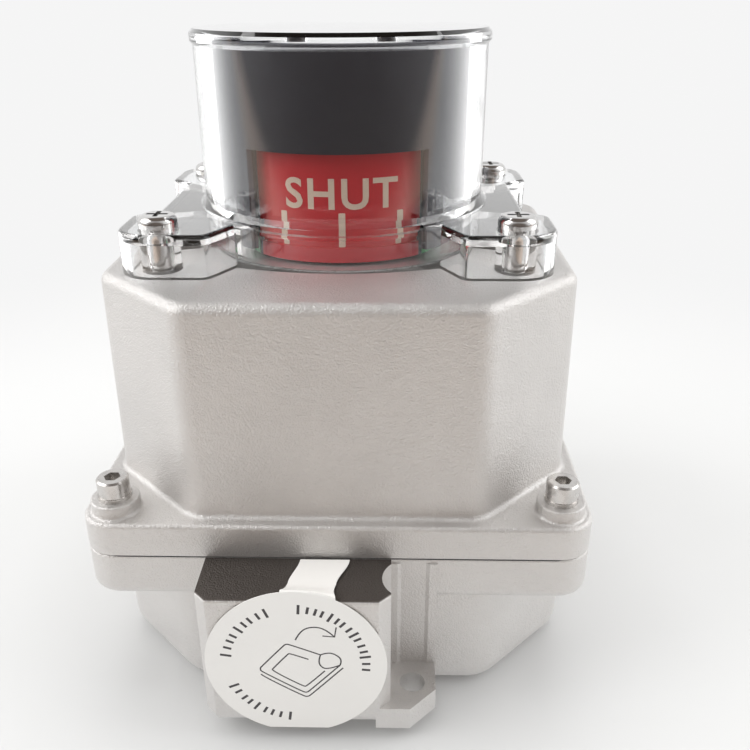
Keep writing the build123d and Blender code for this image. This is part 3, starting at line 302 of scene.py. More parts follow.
def handling_group():
    """Faint smudges and specks where a surface has been handled."""
    group, inputs, outputs = new_group(
        "handling marks",
        [("Smudge scale", "NodeSocketFloat", 60.0), ("Amount", "NodeSocketFloat", 0.5)],
        [("Mask", "NodeSocketFloat")],
    )
    place = object_coordinates(group)
    smudge = add_node(group, "ShaderNodeTexNoise", {"Detail": 5.0, "Roughness": 0.65, "Distortion": 0.6})
    link(group, place, smudge.inputs["Vector"])
    link(group, inputs.outputs["Smudge scale"], smudge.inputs["Scale"])
    step = add_node(group, "ShaderNodeMapRange", {"From Min": 0.48, "From Max": 0.72})
    link(group, smudge.outputs["Fac"], step.inputs["Value"])
    mask = math_node(group, "MULTIPLY", step.outputs["Result"], inputs.outputs["Amount"])
    link(group, mask, outputs.inputs["Mask"])
    return group


def turning_group():
    """Fine rings round the nearest of four upright axes at plus and minus the given offsets."""
    group, inputs, outputs = new_group(
        "turning marks",
        [
            ("Offset X", "NodeSocketFloat", 0.0),
            ("Offset Y", "NodeSocketFloat", 0.0),
            ("Rings", "NodeSocketFloat", 3000.0),
        ],
        [("Height", "NodeSocketFloat")],
    )
    place = separated(group, object_coordinates(group))
    squares = []
    for axis in range(2):
        along = math_node(group, "SUBTRACT", math_node(group, "ABSOLUTE", place[axis]), inputs.outputs[axis])
        squares.append(math_node(group, "POWER", math_node(group, "ABSOLUTE", along), 2.0))
    radius = math_node(group, "SQRT", math_node(group, "ADD", *squares))
    wave = math_node(group, "SINE", math_node(group, "MULTIPLY", radius, inputs.outputs["Rings"]))
    link(group, wave, outputs.inputs["Height"])
    return group


GROUPS = {}


def shared(name):
    """The named shared effect, built at its first use."""
    makers = {"grain": surface_grain_group, "handling": handling_group, "turning": turning_group}
    if name not in GROUPS:
        GROUPS[name] = makers[name]()
    return GROUPS[name]


# ------------------------------------------------------------------ finishes
def shade(base, factor):
    """A colour made darker or lighter."""
    return tuple(min(1.0, channel * factor) for channel in base)


def cast_steel(name, painted_shade_box=None):
    """Bead-blasted cast stainless steel, darker inside the given box where one is given: painted shade and a
    painted dark reflection.
    """
    colours = bpy.context.scene.switch_box_colours
    base = tuple(colours.cast_steel)
    material, tree, shader = new_material(name)
    grain = use_group(tree, shared("grain"), Grain_scale=1900.0, Cloud_scale=26.0)
    marks = use_group(tree, shared("handling"), Smudge_scale=45.0, Amount=0.5)
    tone = mix_colour(tree, grain.outputs["Tone"], shade(base, 0.9), shade(base, 1.08))
    tone = mix_colour(tree, math_node(tree, "MULTIPLY", marks.outputs["Mask"], 0.35), tone, shade(base, 0.78))
    rough = ranged(tree, grain.outputs["Tone"], 0.40, 0.50)
    rough = math_node(tree, "SUBTRACT", rough, math_node(tree, "MULTIPLY", marks.outputs["Mask"], 0.08))
    # painted shade and dark reflection inside the box
    if painted_shade_box:
        painted_shade_mask = soft_box(tree, *painted_shade_box)
        tone = mix_colour(tree, painted_shade_mask, tone, tuple(colours.painted_shade_steel))
    link(tree, tone, shader.inputs["Base Color"])
    link(tree, rough, shader.inputs["Roughness"])
    link(tree, bump(tree, grain.outputs["Height"], 1.0, 0.32 * MM), shader.inputs["Normal"])
    shader.inputs["Metallic"].default_value = 0.92
    return material


def soft_box(tree, low, high, soft):
    """1 inside a box on object coordinates and 0 outside it, with a soft border."""
    place = separated(tree, object_coordinates(tree))
    mask = None
    for axis in range(3):
        for start, end in ((low[axis] - soft, low[axis] + soft), (high[axis] + soft, high[axis] - soft)):
            step = add_node(tree, "ShaderNodeMapRange", {"From Min": start, "From Max": end})
            link(tree, place[axis], step.inputs["Value"])
            inside = step.outputs["Result"]
            mask = inside if mask is None else math_node(tree, "MULTIPLY", mask, inside)
    return mask


def turned_steel(name, base, roughness, offset, rings=3000.0):
    """Machined steel with rings round its own upright axes."""
    material, tree, shader = new_material(name)
    turning = use_group(tree, shared("turning"), Offset_X=offset[0], Offset_Y=offset[1], Rings=rings)
    marks = use_group(tree, shared("handling"), Smudge_scale=220.0, Amount=0.6)
    tone = mix_colour(tree, marks.outputs["Mask"], base, shade(base, 0.72))
    link(tree, tone, shader.inputs["Base Color"])
    link(tree, ranged(tree, marks.outputs["Mask"], roughness, roughness + 0.14), shader.inputs["Roughness"])
    link(tree, bump(tree, turning.outputs["Height"], 0.25, 0.02 * MM), shader.inputs["Normal"])
    shader.inputs["Metallic"].default_value = 1.0
    return material


def moulded(name, base, roughness, grain_scale=2600.0, grain_strength=0.15, coat=0.0):
    """Moulded plastic with a fine skin, and faint handling marks."""
    material, tree, shader = new_material(name)
    grain = use_group(tree, shared("grain"), Grain_scale=grain_scale, Cloud_scale=40.0)
    marks = use_group(tree, shared("handling"), Smudge_scale=90.0, Amount=0.7)
    tone = mix_colour(tree, grain.outputs["Tone"], shade(base, 0.93), shade(base, 1.07))
    link(tree, tone, shader.inputs["Base Color"])
    link(tree, ranged(tree, marks.outputs["Mask"], roughness, roughness + 0.12), shader.inputs["Roughness"])
    link(tree, bump(tree, grain.outputs["Height"], grain_strength, 0.03 * MM), shader.inputs["Normal"])
    shader.inputs["Coat Weight"].default_value = coat
    return material


def clear_plastic():
    """Clear gloss polycarbonate: mild refraction under a hard glossy skin, with the faintest ripple."""
    material, tree, shader = new_material("clear polycarbonate")
    marks = use_group(tree, shared("handling"), Smudge_scale=70.0, Amount=0.5)
    link(tree, ranged(tree, marks.outputs["Mask"], 0.01, 0.04), shader.inputs["Roughness"])
    ripple = noise(tree, object_coordinates(tree), 45.0, 2.0)
    link(tree, bump(tree, ripple, 0.06, 0.3 * MM), shader.inputs["Normal"])
    shader.inputs["Base Color"].default_value = (0.98, 0.985, 0.99, 1.0)
    shader.inputs["Transmission Weight"].default_value = 1.0
    shader.inputs["IOR"].default_value = 1.28
    shader.inputs["Coat Weight"].default_value = 1.0
    shader.inputs["Coat IOR"].default_value = 1.5
    shader.inputs["Coat Roughness"].default_value = 0.02
    return material


def pale_seal():
    """Translucent silicone of the seal under the clear dome."""
    material, tree, shader = new_material("pale silicone")
    grain = use_group(tree, shared("grain"), Grain_scale=1500.0, Cloud_scale=60.0)
    tone = mix_colour(tree, grain.outputs["Tone"], (0.66, 0.66, 0.65), (0.76, 0.76, 0.75))
    link(tree, tone, shader.inputs["Base Color"])
    link(tree, ranged(tree, grain.outputs["Tone"], 0.35, 0.5), shader.inputs["Roughness"])
    link(tree, bump(tree, grain.outputs["Height"], 0.2, 0.03 * MM), shader.inputs["Normal"])
    return material


def printed(name, base):
    """Matt print ink, a little uneven."""
    material, tree, shader = new_material(name)
    grain = use_group(tree, shared("grain"), Grain_scale=2200.0, Cloud_scale=160.0)
    tone = mix_colour(tree, grain.outputs["Tone"], shade(base, 0.9), shade(base, 1.08))
    link(tree, tone, shader.inputs["Base Color"])
    link(tree, ranged(tree, grain.outputs["Tone"], 0.4, 0.55), shader.inputs["Roughness"])
    link(tree, bump(tree, grain.outputs["Height"], 0.15, 0.02 * MM), shader.inputs["Normal"])
    return material


def coated_paper():
    """Coated paper with a faint fibre texture."""
    base = tuple(bpy.context.scene.switch_box_colours.paper)
    material, tree, shader = new_material("coated paper")
    grain = use_group(tree, shared("grain"), Grain_scale=1300.0, Cloud_scale=60.0)
    tone = mix_colour(tree, grain.outputs["Tone"], shade(base, 0.96), shade(base, 1.03))
    link(tree, tone, shader.inputs["Base Color"])
    link(tree, ranged(tree, grain.outputs["Tone"], 0.42, 0.56), shader.inputs["Roughness"])
    link(tree, bump(tree, grain.outputs["Height"], 0.12, 0.03 * MM), shader.inputs["Normal"])
    return material


def finishes():
    """One material for each of the record's material slots."""
    colours = bpy.context.scene.switch_box_colours
    bolt_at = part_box("cover_bolts")[1] - Vector((BOLT_HEAD_R, BOLT_HEAD_R, 0.0))
    screw_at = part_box("dome_screws")[1] - Vector((DOME_SCREW_HEAD_R, DOME_SCREW_HEAD_R, 0.0))
    steel = tuple(colours.machined_steel)
    return {
        "cast_steel": cast_steel("cast steel"),
        "bolt_steel": turned_steel("machined steel", steel, 0.24, bolt_at),
        "polished_steel": turned_steel("polished steel", tuple(colours.polished_steel), 0.12, screw_at),
        "shaft_steel": turned_steel("ground steel", steel, 0.2, ON_SHAFT),
        "plated_sheet": turned_steel("plated sheet", (0.58, 0.59, 0.58), 0.32, ON_SHAFT, 900.0),
        "clear_plastic": clear_plastic(),
        "black_plastic": moulded("black moulding", tuple(colours.black), 0.38),
        "red_plastic": moulded("red moulding", tuple(colours.red), 0.3, coat=0.3),
        "green_plastic": moulded("green moulding", tuple(colours.green), 0.3, coat=0.3),
        "seal_rubber": moulded("nitrile rubber", (0.02, 0.02, 0.02), 0.6, 1500.0, 0.4),
        "bronze": turned_steel("sintered bronze", (0.42, 0.25, 0.10), 0.42, ON_SHAFT, 2000.0),
        "brass": turned_steel("brass", (0.68, 0.47, 0.17), 0.25, ON_SHAFT, 2000.0),
        "cam_grey": moulded("grey acetal", (0.16, 0.16, 0.165), 0.45),
        "cam_red": moulded("red acetal", (0.42, 0.02, 0.02), 0.45),
        "cam_green": moulded("green acetal", (0.02, 0.2, 0.05), 0.45),
        "switch_black": moulded("phenolic case", (0.02, 0.02, 0.022), 0.5, 1800.0, 0.3),
        "earth_green": turned_steel("green passivated steel", (0.08, 0.3, 0.1), 0.35, ON_SHAFT),
        "paper": coated_paper(),
    }


MATERIALS = {}


class SWITCHBOX_OT_finishes(bpy.types.Operator):
    """Give every carried-over piece its procedural finish"""

    bl_idname = "switchbox.finishes"
    bl_label = "Finishes"

    def execute(self, context):
        MATERIALS.update(finishes())
        for subpart in frame["record"]["subparts"]:
            piece = frame["nodes"][subpart["node"]]
            if not piece.material_slots:
                raise RuntimeError(f"{piece.name} has no material slot")
            for place in piece.material_slots:
                place.material = MATERIALS[subpart["material_slot"]]
        tub = frame["nodes"]["lower_housing"]
        boss = Vector((*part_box("lower_housing")[0].xy, PARTING))
        # box of painted shade and dark reflection on the top of the conduit boss
        painted_shade_box = (boss - Vector((0, 0, 0.2 * MM)), Vector((-boss.x, FLANGE_FRONT, boss.z + 1.0 * MM)), 0.1 * MM)
        tub.material_slots[0].material = cast_steel("cast steel with a dark boss", painted_shade_box)
        frame["nodes"]["dome_seal"].material_slots[0].material = pale_seal()
        frame["nodes"]["indicator_dome"].visible_shadow = False
        return {"FINISHED"}


# ------------------------------------------------------------------ modelling helpers
def begin(add, name, **settings):
    """Adds a primitive with nothing else selected, and names it."""
    if bpy.context.mode != "OBJECT":
        bpy.ops.object.mode_set(mode="OBJECT")
    bpy.ops.object.select_all(action="DESELECT")
    add(**settings)
    piece = bpy.context.active_object
    piece.name = name
    return piece


def activate(piece):
    """Makes a piece the only selected one."""
    bpy.ops.object.select_all(action="DESELECT")
    piece.select_set(True)
    bpy.context.view_layer.objects.active = piece


def pick(piece, kind, test):
    """Selects the vertices, edges or faces of the edited mesh whose middle passes the test."""
    bpy.ops.mesh.select_mode(type={"verts": "VERT", "edges": "EDGE", "faces": "FACE"}[kind])
    bpy.ops.mesh.select_all(action="DESELECT")
    mesh = bmesh.from_edit_mesh(piece.data)
    for item in getattr(mesh, kind):
        corners = [item] if kind == "verts" else item.verts
        middle = sum((corner.co for corner in corners), Vector()) / len(corners)
        item.select_set(test(middle))
    bmesh.update_edit_mesh(piece.data)


def slice_up(start, end, step):
    """Cuts the whole edited mesh across X at even steps, so that it can bend there."""
    for index in range(int((end - start) / step) + 1):
        bpy.ops.mesh.select_all(action="SELECT")
        bpy.ops.mesh.bisect(plane_co=(start + index * step, 0.0, 0.0), plane_no=(1.0, 0.0, 0.0))


def thicken(piece, thickness, offset=1.0):
    """Gives a sheet its thickness, outwards by default."""
    modifier = piece.modifiers.new("thickness", "SOLIDIFY")
    modifier.thickness = thickness
    modifier.offset = offset
    activate(piece)
    bpy.ops.object.modifier_apply(modifier=modifier.name)


def settle(piece, body, material):
    """Applies the place of a finished piece, gives it its finish and lets it ride on its body."""
    activate(piece)
    bpy.ops.object.transform_apply(location=True, rotation=True, scale=True)
    piece.data.materials.clear()
    piece.data.materials.append(material)
    bpy.ops.object.shade_smooth_by_angle(angle=math.radians(35.0))
    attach(piece, body)
    piece.select_set(False)


# ------------------------------------------------------------------ print on the drum
def drum_word(word):
    """A flat word centred on the origin, at the height and width of the print."""
    sizes = bpy.context.scene.switch_box_sizes
    piece = begin(bpy.ops.object.text_add, "drum_word")
    piece.data.body = word
    piece.data.space_character = 1.12
    piece.data.offset = 0.02
    piece.data.resolution_u = 4
    bpy.ops.object.convert(target="MESH")
    xs = [vertex.co.x for vertex in piece.data.vertices]
    ys = [vertex.co.y for vertex in piece.data.vertices]
    wide = sizes.word_width / (max(xs) - min(xs))
    tall = sizes.word_height / (max(ys) - min(ys))
    bpy.ops.object.mode_set(mode="EDIT")
    bpy.ops.mesh.select_all(action="SELECT")
    bpy.ops.mesh.remove_doubles(threshold=0.0001)
    bpy.ops.transform.translate(value=(-(max(xs) + min(xs)) / 2, -(max(ys) + min(ys)) / 2, 0.0))
    bpy.ops.transform.resize(value=(wide, tall, 1.0), center_override=ORIGIN)
    slice_up(-sizes.word_width / 2, sizes.word_width / 2, 1.0 * MM)
    bpy.ops.object.mode_set(mode="OBJECT")
    return piece


def drum_mark(along, low, high):
    """A flat upright bar at a distance along the drum."""
    sizes = bpy.context.scene.switch_box_sizes
    piece = begin(bpy.ops.mesh.primitive_plane_add, "drum_mark", size=1.0)
    bpy.ops.object.mode_set(mode="EDIT")
    bpy.ops.mesh.subdivide(number_cuts=2)
    bpy.ops.transform.resize(value=(sizes.mark_width, high - low, 1.0), center_override=ORIGIN)
    bpy.ops.transform.translate(value=(along, (low + high) / 2, 0.0))
    pick(piece, "verts", lambda co: abs(abs(co.x - along) - sizes.mark_width / 2) < 0.01 * MM
         and min(abs(co.y - low), abs(co.y - high)) < 0.01 * MM)
    bpy.ops.mesh.bevel(offset=MARK_CORNER, segments=2, affect="VERTICES")
    bpy.ops.object.mode_set(mode="OBJECT")
    return piece


def wrap(piece, radius, turn):
    """Wraps a flat piece round the shaft axis, with its middle turned from the front."""
    for vertex in piece.data.vertices:
        angle = vertex.co.x / radius + turn
        reach = radius + vertex.co.z
        vertex.co = (reach * math.sin(angle), -reach * math.cos(angle), vertex.co.y)


class SWITCHBOX_OT_drum_print(bpy.types.Operator):
    """Print a word and three marks on each panel of the drum"""

    bl_idname = "switchbox.drum_print"
    bl_label = "Drum print"

    def execute(self, context):
        sizes = context.scene.switch_box_sizes
        material = printed("cream print", tuple(context.scene.switch_box_colours.print))
        low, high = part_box("red_panels")
        skin = (high.y - low.y) / 2 - PRINT_SKIN
        off_centre = math.radians(DRUM_OFF_CENTRE)
        sides = (("red", sizes.red_word, off_centre), ("green", sizes.green_word, off_centre + 0.5 * math.pi))
        for name, word, first in sides:
            flat = drum_word(word)
            for vertex in flat.data.vertices:
                vertex.co.y += low.z + WORD_MIDDLE
            marks = [drum_mark(skin * math.radians(angle), low.z + MARK_FOOT, low.z + MARK_HEAD)
                     for angle in MARK_ANGLES]
            activate(flat)
            for mark in marks:
                mark.select_set(True)
            bpy.ops.object.join()
            flat.name = f"{name}_front_print"
            other = flat.copy()
            other.data = flat.data.copy()
            other.name = f"{name}_back_print"
            context.scene.collection.objects.link(other)
            for piece, turn in ((flat, first), (other, first + math.pi)):
                wrap(piece, skin, turn)
                thicken(piece, sizes.print_thickness)
                settle(piece, "shaft", material)
        return {"FINISHED"}


class SWITCHBOX_OT_drum_strips(bpy.types.Operator):
    """Black strips that cover the gaps between the drum's panels"""

    bl_idname = "switchbox.drum_strips"
    bl_label = "Drum strips"

    def execute(self, context):
        low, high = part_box("red_panels")
        skin = (high.y - low.y) / 2 - PRINT_SKIN
        wide = 2 * skin * math.radians(STRIP_HALF_ANGLE)
        piece = begin(bpy.ops.mesh.primitive_plane_add, "drum_strips", size=1.0)
        bpy.ops.object.mode_set(mode="EDIT")
        bpy.ops.mesh.subdivide(number_cuts=3)
        bpy.ops.transform.resize(value=(wide, high.z - low.z, 1.0), center_override=ORIGIN)
        bpy.ops.transform.translate(value=(0.0, (low.z + high.z) / 2, 0.0))
        bpy.ops.object.mode_set(mode="OBJECT")
        thicken(piece, STRIP_THICKNESS)
        copies = []
        for quarter in range(4):
            strip = piece if quarter == 3 else piece.copy()
            if quarter < 3:
                strip.data = piece.data.copy()
                context.scene.collection.objects.link(strip)
                copies.append(strip)
            aside = STRIP_ASIDE if quarter % 2 == 0 else -STRIP_ASIDE
            wrap(strip, skin, math.radians(45.0 + 90.0 * quarter + aside))
        activate(piece)
        for strip in copies:
            strip.select_set(True)
        bpy.ops.object.join()
        bpy.ops.object.mode_set(mode="EDIT")
        bpy.ops.mesh.select_all(action="SELECT")
        bpy.ops.mesh.normals_make_consistent(inside=False)
        bpy.ops.object.mode_set(mode="OBJECT")
        settle(piece, "shaft", MATERIALS["black_plastic"])
        return {"FINISHED"}


# ------------------------------------------------------------------ paper seal
def strap_place(across, along, disc, sheet_y):
    """A point of the strap: up from the disc's rim, over the boss's edge and back along its top."""
    left, right = disc["strap"]
    start_x = disc["x"] + left + across * (right - left)
    start = Vector((start_x, sheet_y, disc["z"] + math.sqrt(DISC_RADIUS**2 - (start_x - disc["x"]) ** 2)))
    top = PARTING + STRAP_HEIGHT
    knee = Vector((start_x + (0.5 - across) * 1.4 * MM + 0.4 * MM, sheet_y + STRAP_KNEE_BACK, top))
    end = Vector((STRAP_END_X + (across - 0.5) * STRAP_END_WIDTH, FLANGE_FRONT - STRAP_END_GAP, top))
    if along < 0.5:
        t = along / 0.5
        rise = Vector((0.0, 0.0, 4.4 * MM + (PARTING + 2.6 * MM - start.z) * 0.8))
        run = (end - knee) * 0.9 + Vector((0.0, 2.0 * MM, -1.2 * MM))
        a, b = 2 * t**3 - 3 * t**2 + 1, -2 * t**3 + 3 * t**2
        return start * a + rise * (t**3 - 2 * t**2 + t) + knee * b + run * (t**3 - t**2)
    t = (along - 0.5) / 0.5
    ease = t * t * (3 - 2 * t)
    place = knee.lerp(end, t)
    place.x = knee.x + (end.x - knee.x) * ease
    return place


class SWITCHBOX_OT_paper_seal(bpy.types.Operator):
    """Round paper seal with its strap laid over the boss, and its plain printed marks"""

    bl_idname = "switchbox.paper_seal"
    bl_label = "Paper seal"

    def execute(self, context):
        sizes = context.scene.switch_box_sizes
        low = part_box("conduit_seal_label")[0]
        centre_x = low.x + DISC_RADIUS
        centre_z = PARTING - DISC_DROP
        sheet_y = low.y + DISC_SET_BACK
        piece = begin(bpy.ops.mesh.primitive_circle_add, "paper_seal", vertices=240, radius=DISC_RADIUS,
                      fill_type="NGON")
        bpy.ops.object.mode_set(mode="EDIT")
        left, right = STRAP_SIDES
        pick(piece, "edges", lambda co: left < co.x < right and co.y > 0)
        for row in range(STRAP_ROWS):
            bpy.ops.mesh.extrude_edges_move(TRANSFORM_OT_translate={"value": (0.0, STRAP_STEP, 0.0)})
        bpy.ops.mesh.select_all(action="SELECT")
        bpy.ops.mesh.bisect(plane_co=(0.0, low.z - centre_z, 0.0), plane_no=(0.0, -1.0, 0.0), clear_outer=True)
        bpy.ops.object.mode_set(mode="OBJECT")
        strap = [v for v in piece.data.vertices if v.co.length > DISC_RADIUS + 0.3 * STRAP_STEP and v.co.y > 0]
        first = min(v.co.x for v in strap)
        last = max(v.co.x for v in strap)
        disc = {"x": centre_x, "z": centre_z, "strap": (first, last)}
        places = {}
        for vertex in strap:
            row = (vertex.co.y - math.sqrt(DISC_RADIUS**2 - vertex.co.x**2)) / STRAP_STEP
            across = (vertex.co.x - first) / (last - first)
            places[vertex.index] = strap_place(across, round(row) / STRAP_ROWS, disc, sheet_y)
        for vertex in piece.data.vertices:
            flat = (centre_x + vertex.co.x, sheet_y, centre_z + vertex.co.y)
            vertex.co = places.get(vertex.index, flat)
        thicken(piece, sizes.paper_thickness)
        settle(piece, "seal_label", coated_paper())
        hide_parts("conduit_seal_label")
        print_y = min(vertex.co.y for vertex in piece.data.vertices)
        self.print_marks(centre_x, print_y, centre_z)
        return {"FINISHED"}

    def print_marks(self, centre_x, print_y, centre_z):
        """Ring of plain ticks and a simple drawing of a card with a lifted corner, as flat printed lines."""
        sizes = bpy.context.scene.switch_box_sizes
        lines = []
        for start, count, step in TICK_RUNS:
            for index in range(count):
                angle = math.radians(start - index * step + (0.0 if index % 3 else 0.8))
                reach = SHORT_TICK if index % 4 else LONG_TICK
                lines.append([(r * math.cos(angle), r * math.sin(angle)) for r in reach])
        lines += [
            [(-9.4, -1.2), (-2.9, 6.6), (-2.2, 7.0), (-1.4, 6.9), (6.6, 3.5)],
            [(-9.4, -1.2), (-9.5, -2.0), (-9.0, -2.6), (1.6, -9.6), (2.6, -9.7), (3.4, -9.0), (11.6, 0.0)],
            [(-9.4, -3.4), (-9.0, -4.1), (1.7, -11.1), (2.8, -11.2), (3.7, -10.5), (12.4, -0.9)],
            [(-6.3, -1.7), (-2.0, 3.6), (-1.4, 3.9), (3.4, 1.9)],
            [(-6.3, -1.7), (-6.2, -2.3), (1.8, -7.6), (2.6, -7.5), (7.6, -2.0)],
            [(6.6, 3.5), (6.0, 1.6), (6.4, -0.4), (8.2, -1.6), (11.6, 0.0)],
            [(6.6, 3.5), (8.6, 4.5), (11.0, 3.4), (12.2, 1.6), (11.6, 0.0)],
            [(0.2, 8.4), (1.6, 11.6), (4.8, 13.0), (8.2, 12.2), (10.4, 9.6)],
            [(7.3, 9.9), (10.4, 9.6), (10.9, 12.8)],
        ]
        curve = bpy.data.curves.new("seal_print", "CURVE")
        curve.dimensions = "3D"
        curve.bevel_depth = sizes.line_width / 2
        curve.bevel_resolution = 1
        curve.use_fill_caps = True
        for points in lines:
            spline = curve.splines.new("NURBS" if len(points) > 3 else "POLY")
            spline.points.add(len(points) - 1)
            for point, (x, z) in zip(spline.points, points):
                point.co = (x * MM, z * MM, 0.0, 1.0)
                point.radius = TICK_WEIGHT if len(points) == 2 else DRAWING_WEIGHT
            if len(points) > 3:
                spline.order_u = 3
                spline.use_endpoint_u = True
                spline.resolution_u = 5
        piece = bpy.data.objects.new("seal_print", curve)
        bpy.context.scene.collection.objects.link(piece)
        activate(piece)
        bpy.ops.object.convert(target="MESH")
        piece = bpy.context.active_object
        for vertex in piece.data.vertices:
            vertex.co = (centre_x + vertex.co.x, print_y - vertex.co.z * PRINT_FLATNESS, centre_z + vertex.co.y)
        ink = tuple(bpy.context.scene.switch_box_colours.ink)
        settle(piece, "seal_label", printed("black print", ink))


# ------------------------------------------------------------------ conduit thread and joint line
class SWITCHBOX_OT_conduit_thread(bpy.types.Operator):
    """Thread of the conduit entry, behind the paper seal"""

    bl_idname = "switchbox.conduit_thread"
    bl_label = "Conduit thread"

    def execute(self, context):
        sizes = context.scene.switch_box_sizes
        entry = next(mount for mount in frame["record"]["mounts"] if mount["name"] == "conduit_entry")
        radius = entry["dims"]["r_mm"] * MM
        turns = int(THREAD_SHARE * entry["dims"]["length_mm"] * MM / sizes.thread_pitch)
        piece = begin(bpy.ops.mesh.primitive_circle_add, "conduit_thread", vertices=3, fill_type="NOTHING",
                      radius=sizes.thread_depth)
        bpy.ops.object.mode_set(mode="EDIT")
        bpy.ops.mesh.select_all(action="SELECT")
        bpy.ops.transform.rotate(value=math.pi / 2, orient_axis="Z", center_override=ORIGIN)
        bpy.ops.transform.rotate(value=math.pi / 2, orient_axis="X", center_override=ORIGIN)
        bpy.ops.object.mode_set(mode="OBJECT")
        inner = min(vertex.co.x for vertex in piece.data.vertices)
        outer = max(vertex.co.x for vertex in piece.data.vertices)
        if abs(inner) < abs(outer):
            for vertex in piece.data.vertices:
                vertex.co.x = -vertex.co.x
        shift = radius + THREAD_SUNK - max(vertex.co.x for vertex in piece.data.vertices)
        for vertex in piece.data.vertices:
            vertex.co.x += shift
        screw = piece.modifiers.new("thread", "SCREW")
        screw.axis = "Z"
        screw.angle = 2 * math.pi
        screw.screw_offset = sizes.thread_pitch
        screw.iterations = turns
        screw.steps = THREAD_STEPS
        screw.render_steps = THREAD_STEPS
        activate(piece)
        bpy.ops.object.modifier_apply(modifier=screw.name)
        bpy.ops.object.mode_set(mode="EDIT")
        bpy.ops.mesh.select_all(action="SELECT")
        bpy.ops.mesh.fill_holes(sides=3)
        bpy.ops.mesh.normals_make_consistent(inside=False)
        bpy.ops.object.mode_set(mode="OBJECT")
        x, y, z = entry["pos_m"]
        for vertex in piece.data.vertices:
            along = THREAD_START + vertex.co.z
            vertex.co = (x + vertex.co.x, y + along, z - vertex.co.y)
        settle(piece, "housing", turned_steel("cut thread", (0.5, 0.49, 0.48), 0.3, ON_SHAFT))
        return {"FINISHED"}


class SWITCHBOX_OT_joint_line(bpy.types.Operator):
    """Thin dark ring at the parting plane that shows between the castings"""

    bl_idname = "switchbox.joint_line"
    bl_label = "Joint line"

    def execute(self, context):
        sizes = context.scene.switch_box_sizes
        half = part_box("cover_housing")[1].x - JOINT_SET_BACK
        piece = begin(bpy.ops.mesh.primitive_plane_add, "joint_line", size=2 * half)
        bpy.ops.object.mode_set(mode="EDIT")
        bpy.ops.mesh.select_all(action="SELECT")
        bpy.ops.mesh.bevel(offset=JOINT_CORNER, segments=14, affect="VERTICES")
        bpy.ops.mesh.select_all(action="SELECT")
        bpy.ops.mesh.inset(thickness=JOINT_WIDTH)
        bpy.ops.mesh.delete(type="FACE")
        bpy.ops.object.mode_set(mode="OBJECT")
        for vertex in piece.data.vertices:
            vertex.co.z = PARTING
        thicken(piece, sizes.joint_line, 0.0)
        settle(piece, "housing", MATERIALS["seal_rubber"])
        return {"FINISHED"}


# ------------------------------------------------------------------ studio
def area_light(name, size, energy, at, target):
    """A square soft light that faces a point."""
    data = bpy.data.lights.new(name, "AREA")
    data.shape = "RECTANGLE"
    data.size = size[0]
    data.size_y = size[1]
    data.energy = energy
    lamp = bpy.data.objects.new(name, data)
    bpy.context.scene.collection.objects.link(lamp)
    lamp.location = at
    lamp.rotation_euler = (Vector(target) - Vector(at)).to_track_quat("-Z", "Y").to_euler()
    return lamp


def soften(lamp, side):
    """Lets a card fade towards its front edge."""
    lamp.use_nodes = True
    tree = lamp.node_tree
    across = separated(tree, tree.nodes.new("ShaderNodeNewGeometry").outputs["Parametric"])["X"]
    edge = (0.0, 0.7) if side > 0 else (1.0, 0.3)
    link(tree, smooth_step(tree, across, *edge), tree.nodes["Emission"].inputs["Strength"])


def camera_matrix():
    """The camera's place and turn: 25 degrees down on the front, a little left of square."""
    yaw = math.radians(-1.33)
    pitch = math.radians(25.09)
    roll = math.radians(-0.22)
    forward = Vector((math.sin(yaw) * math.cos(pitch), math.cos(yaw) * math.cos(pitch), -math.sin(pitch)))
    right = Vector((math.cos(yaw), -math.sin(yaw), 0.0))
    up = right.cross(forward)
    rolled = right * math.cos(roll) + up * math.sin(roll)
    upright = up * math.cos(roll) - right * math.sin(roll)
    turn = Matrix((rolled, upright, -forward)).transposed().to_4x4()
    return Matrix.Translation((14.97 * MM, -251.16 * MM, 187.44 * MM)) @ turn


def studio_world():
    """White all round, but reflections see a dim warm room in front, and overhead in the open air."""
    world = bpy.data.worlds.new("studio")
    world.use_nodes = True
    tree = world.node_tree
    heading = separated(tree, add_node(tree, "ShaderNodeTexCoord").outputs["Generated"])
    front = smooth_step(tree, heading["Y"], -0.45, -0.88)
    overhead = smooth_step(tree, heading["Z"], 0.62, 0.9)
    rays = tree.nodes.new("ShaderNodeLightPath").outputs
    depth = rays["Transmission Depth"]
    open_air = math_node(tree, "SUBTRACT", 1.0, math_node(tree, "MINIMUM", depth, 1.0))
    dark = math_node(tree, "MAXIMUM", front, math_node(tree, "MULTIPLY", overhead, open_air))
    dim = math_node(tree, "MULTIPLY", dark, rays["Is Glossy Ray"])
    link(tree, mix_colour(tree, dim, BACKGROUND, ROOM_DIM), tree.nodes["Background"].inputs["Color"])
    return world


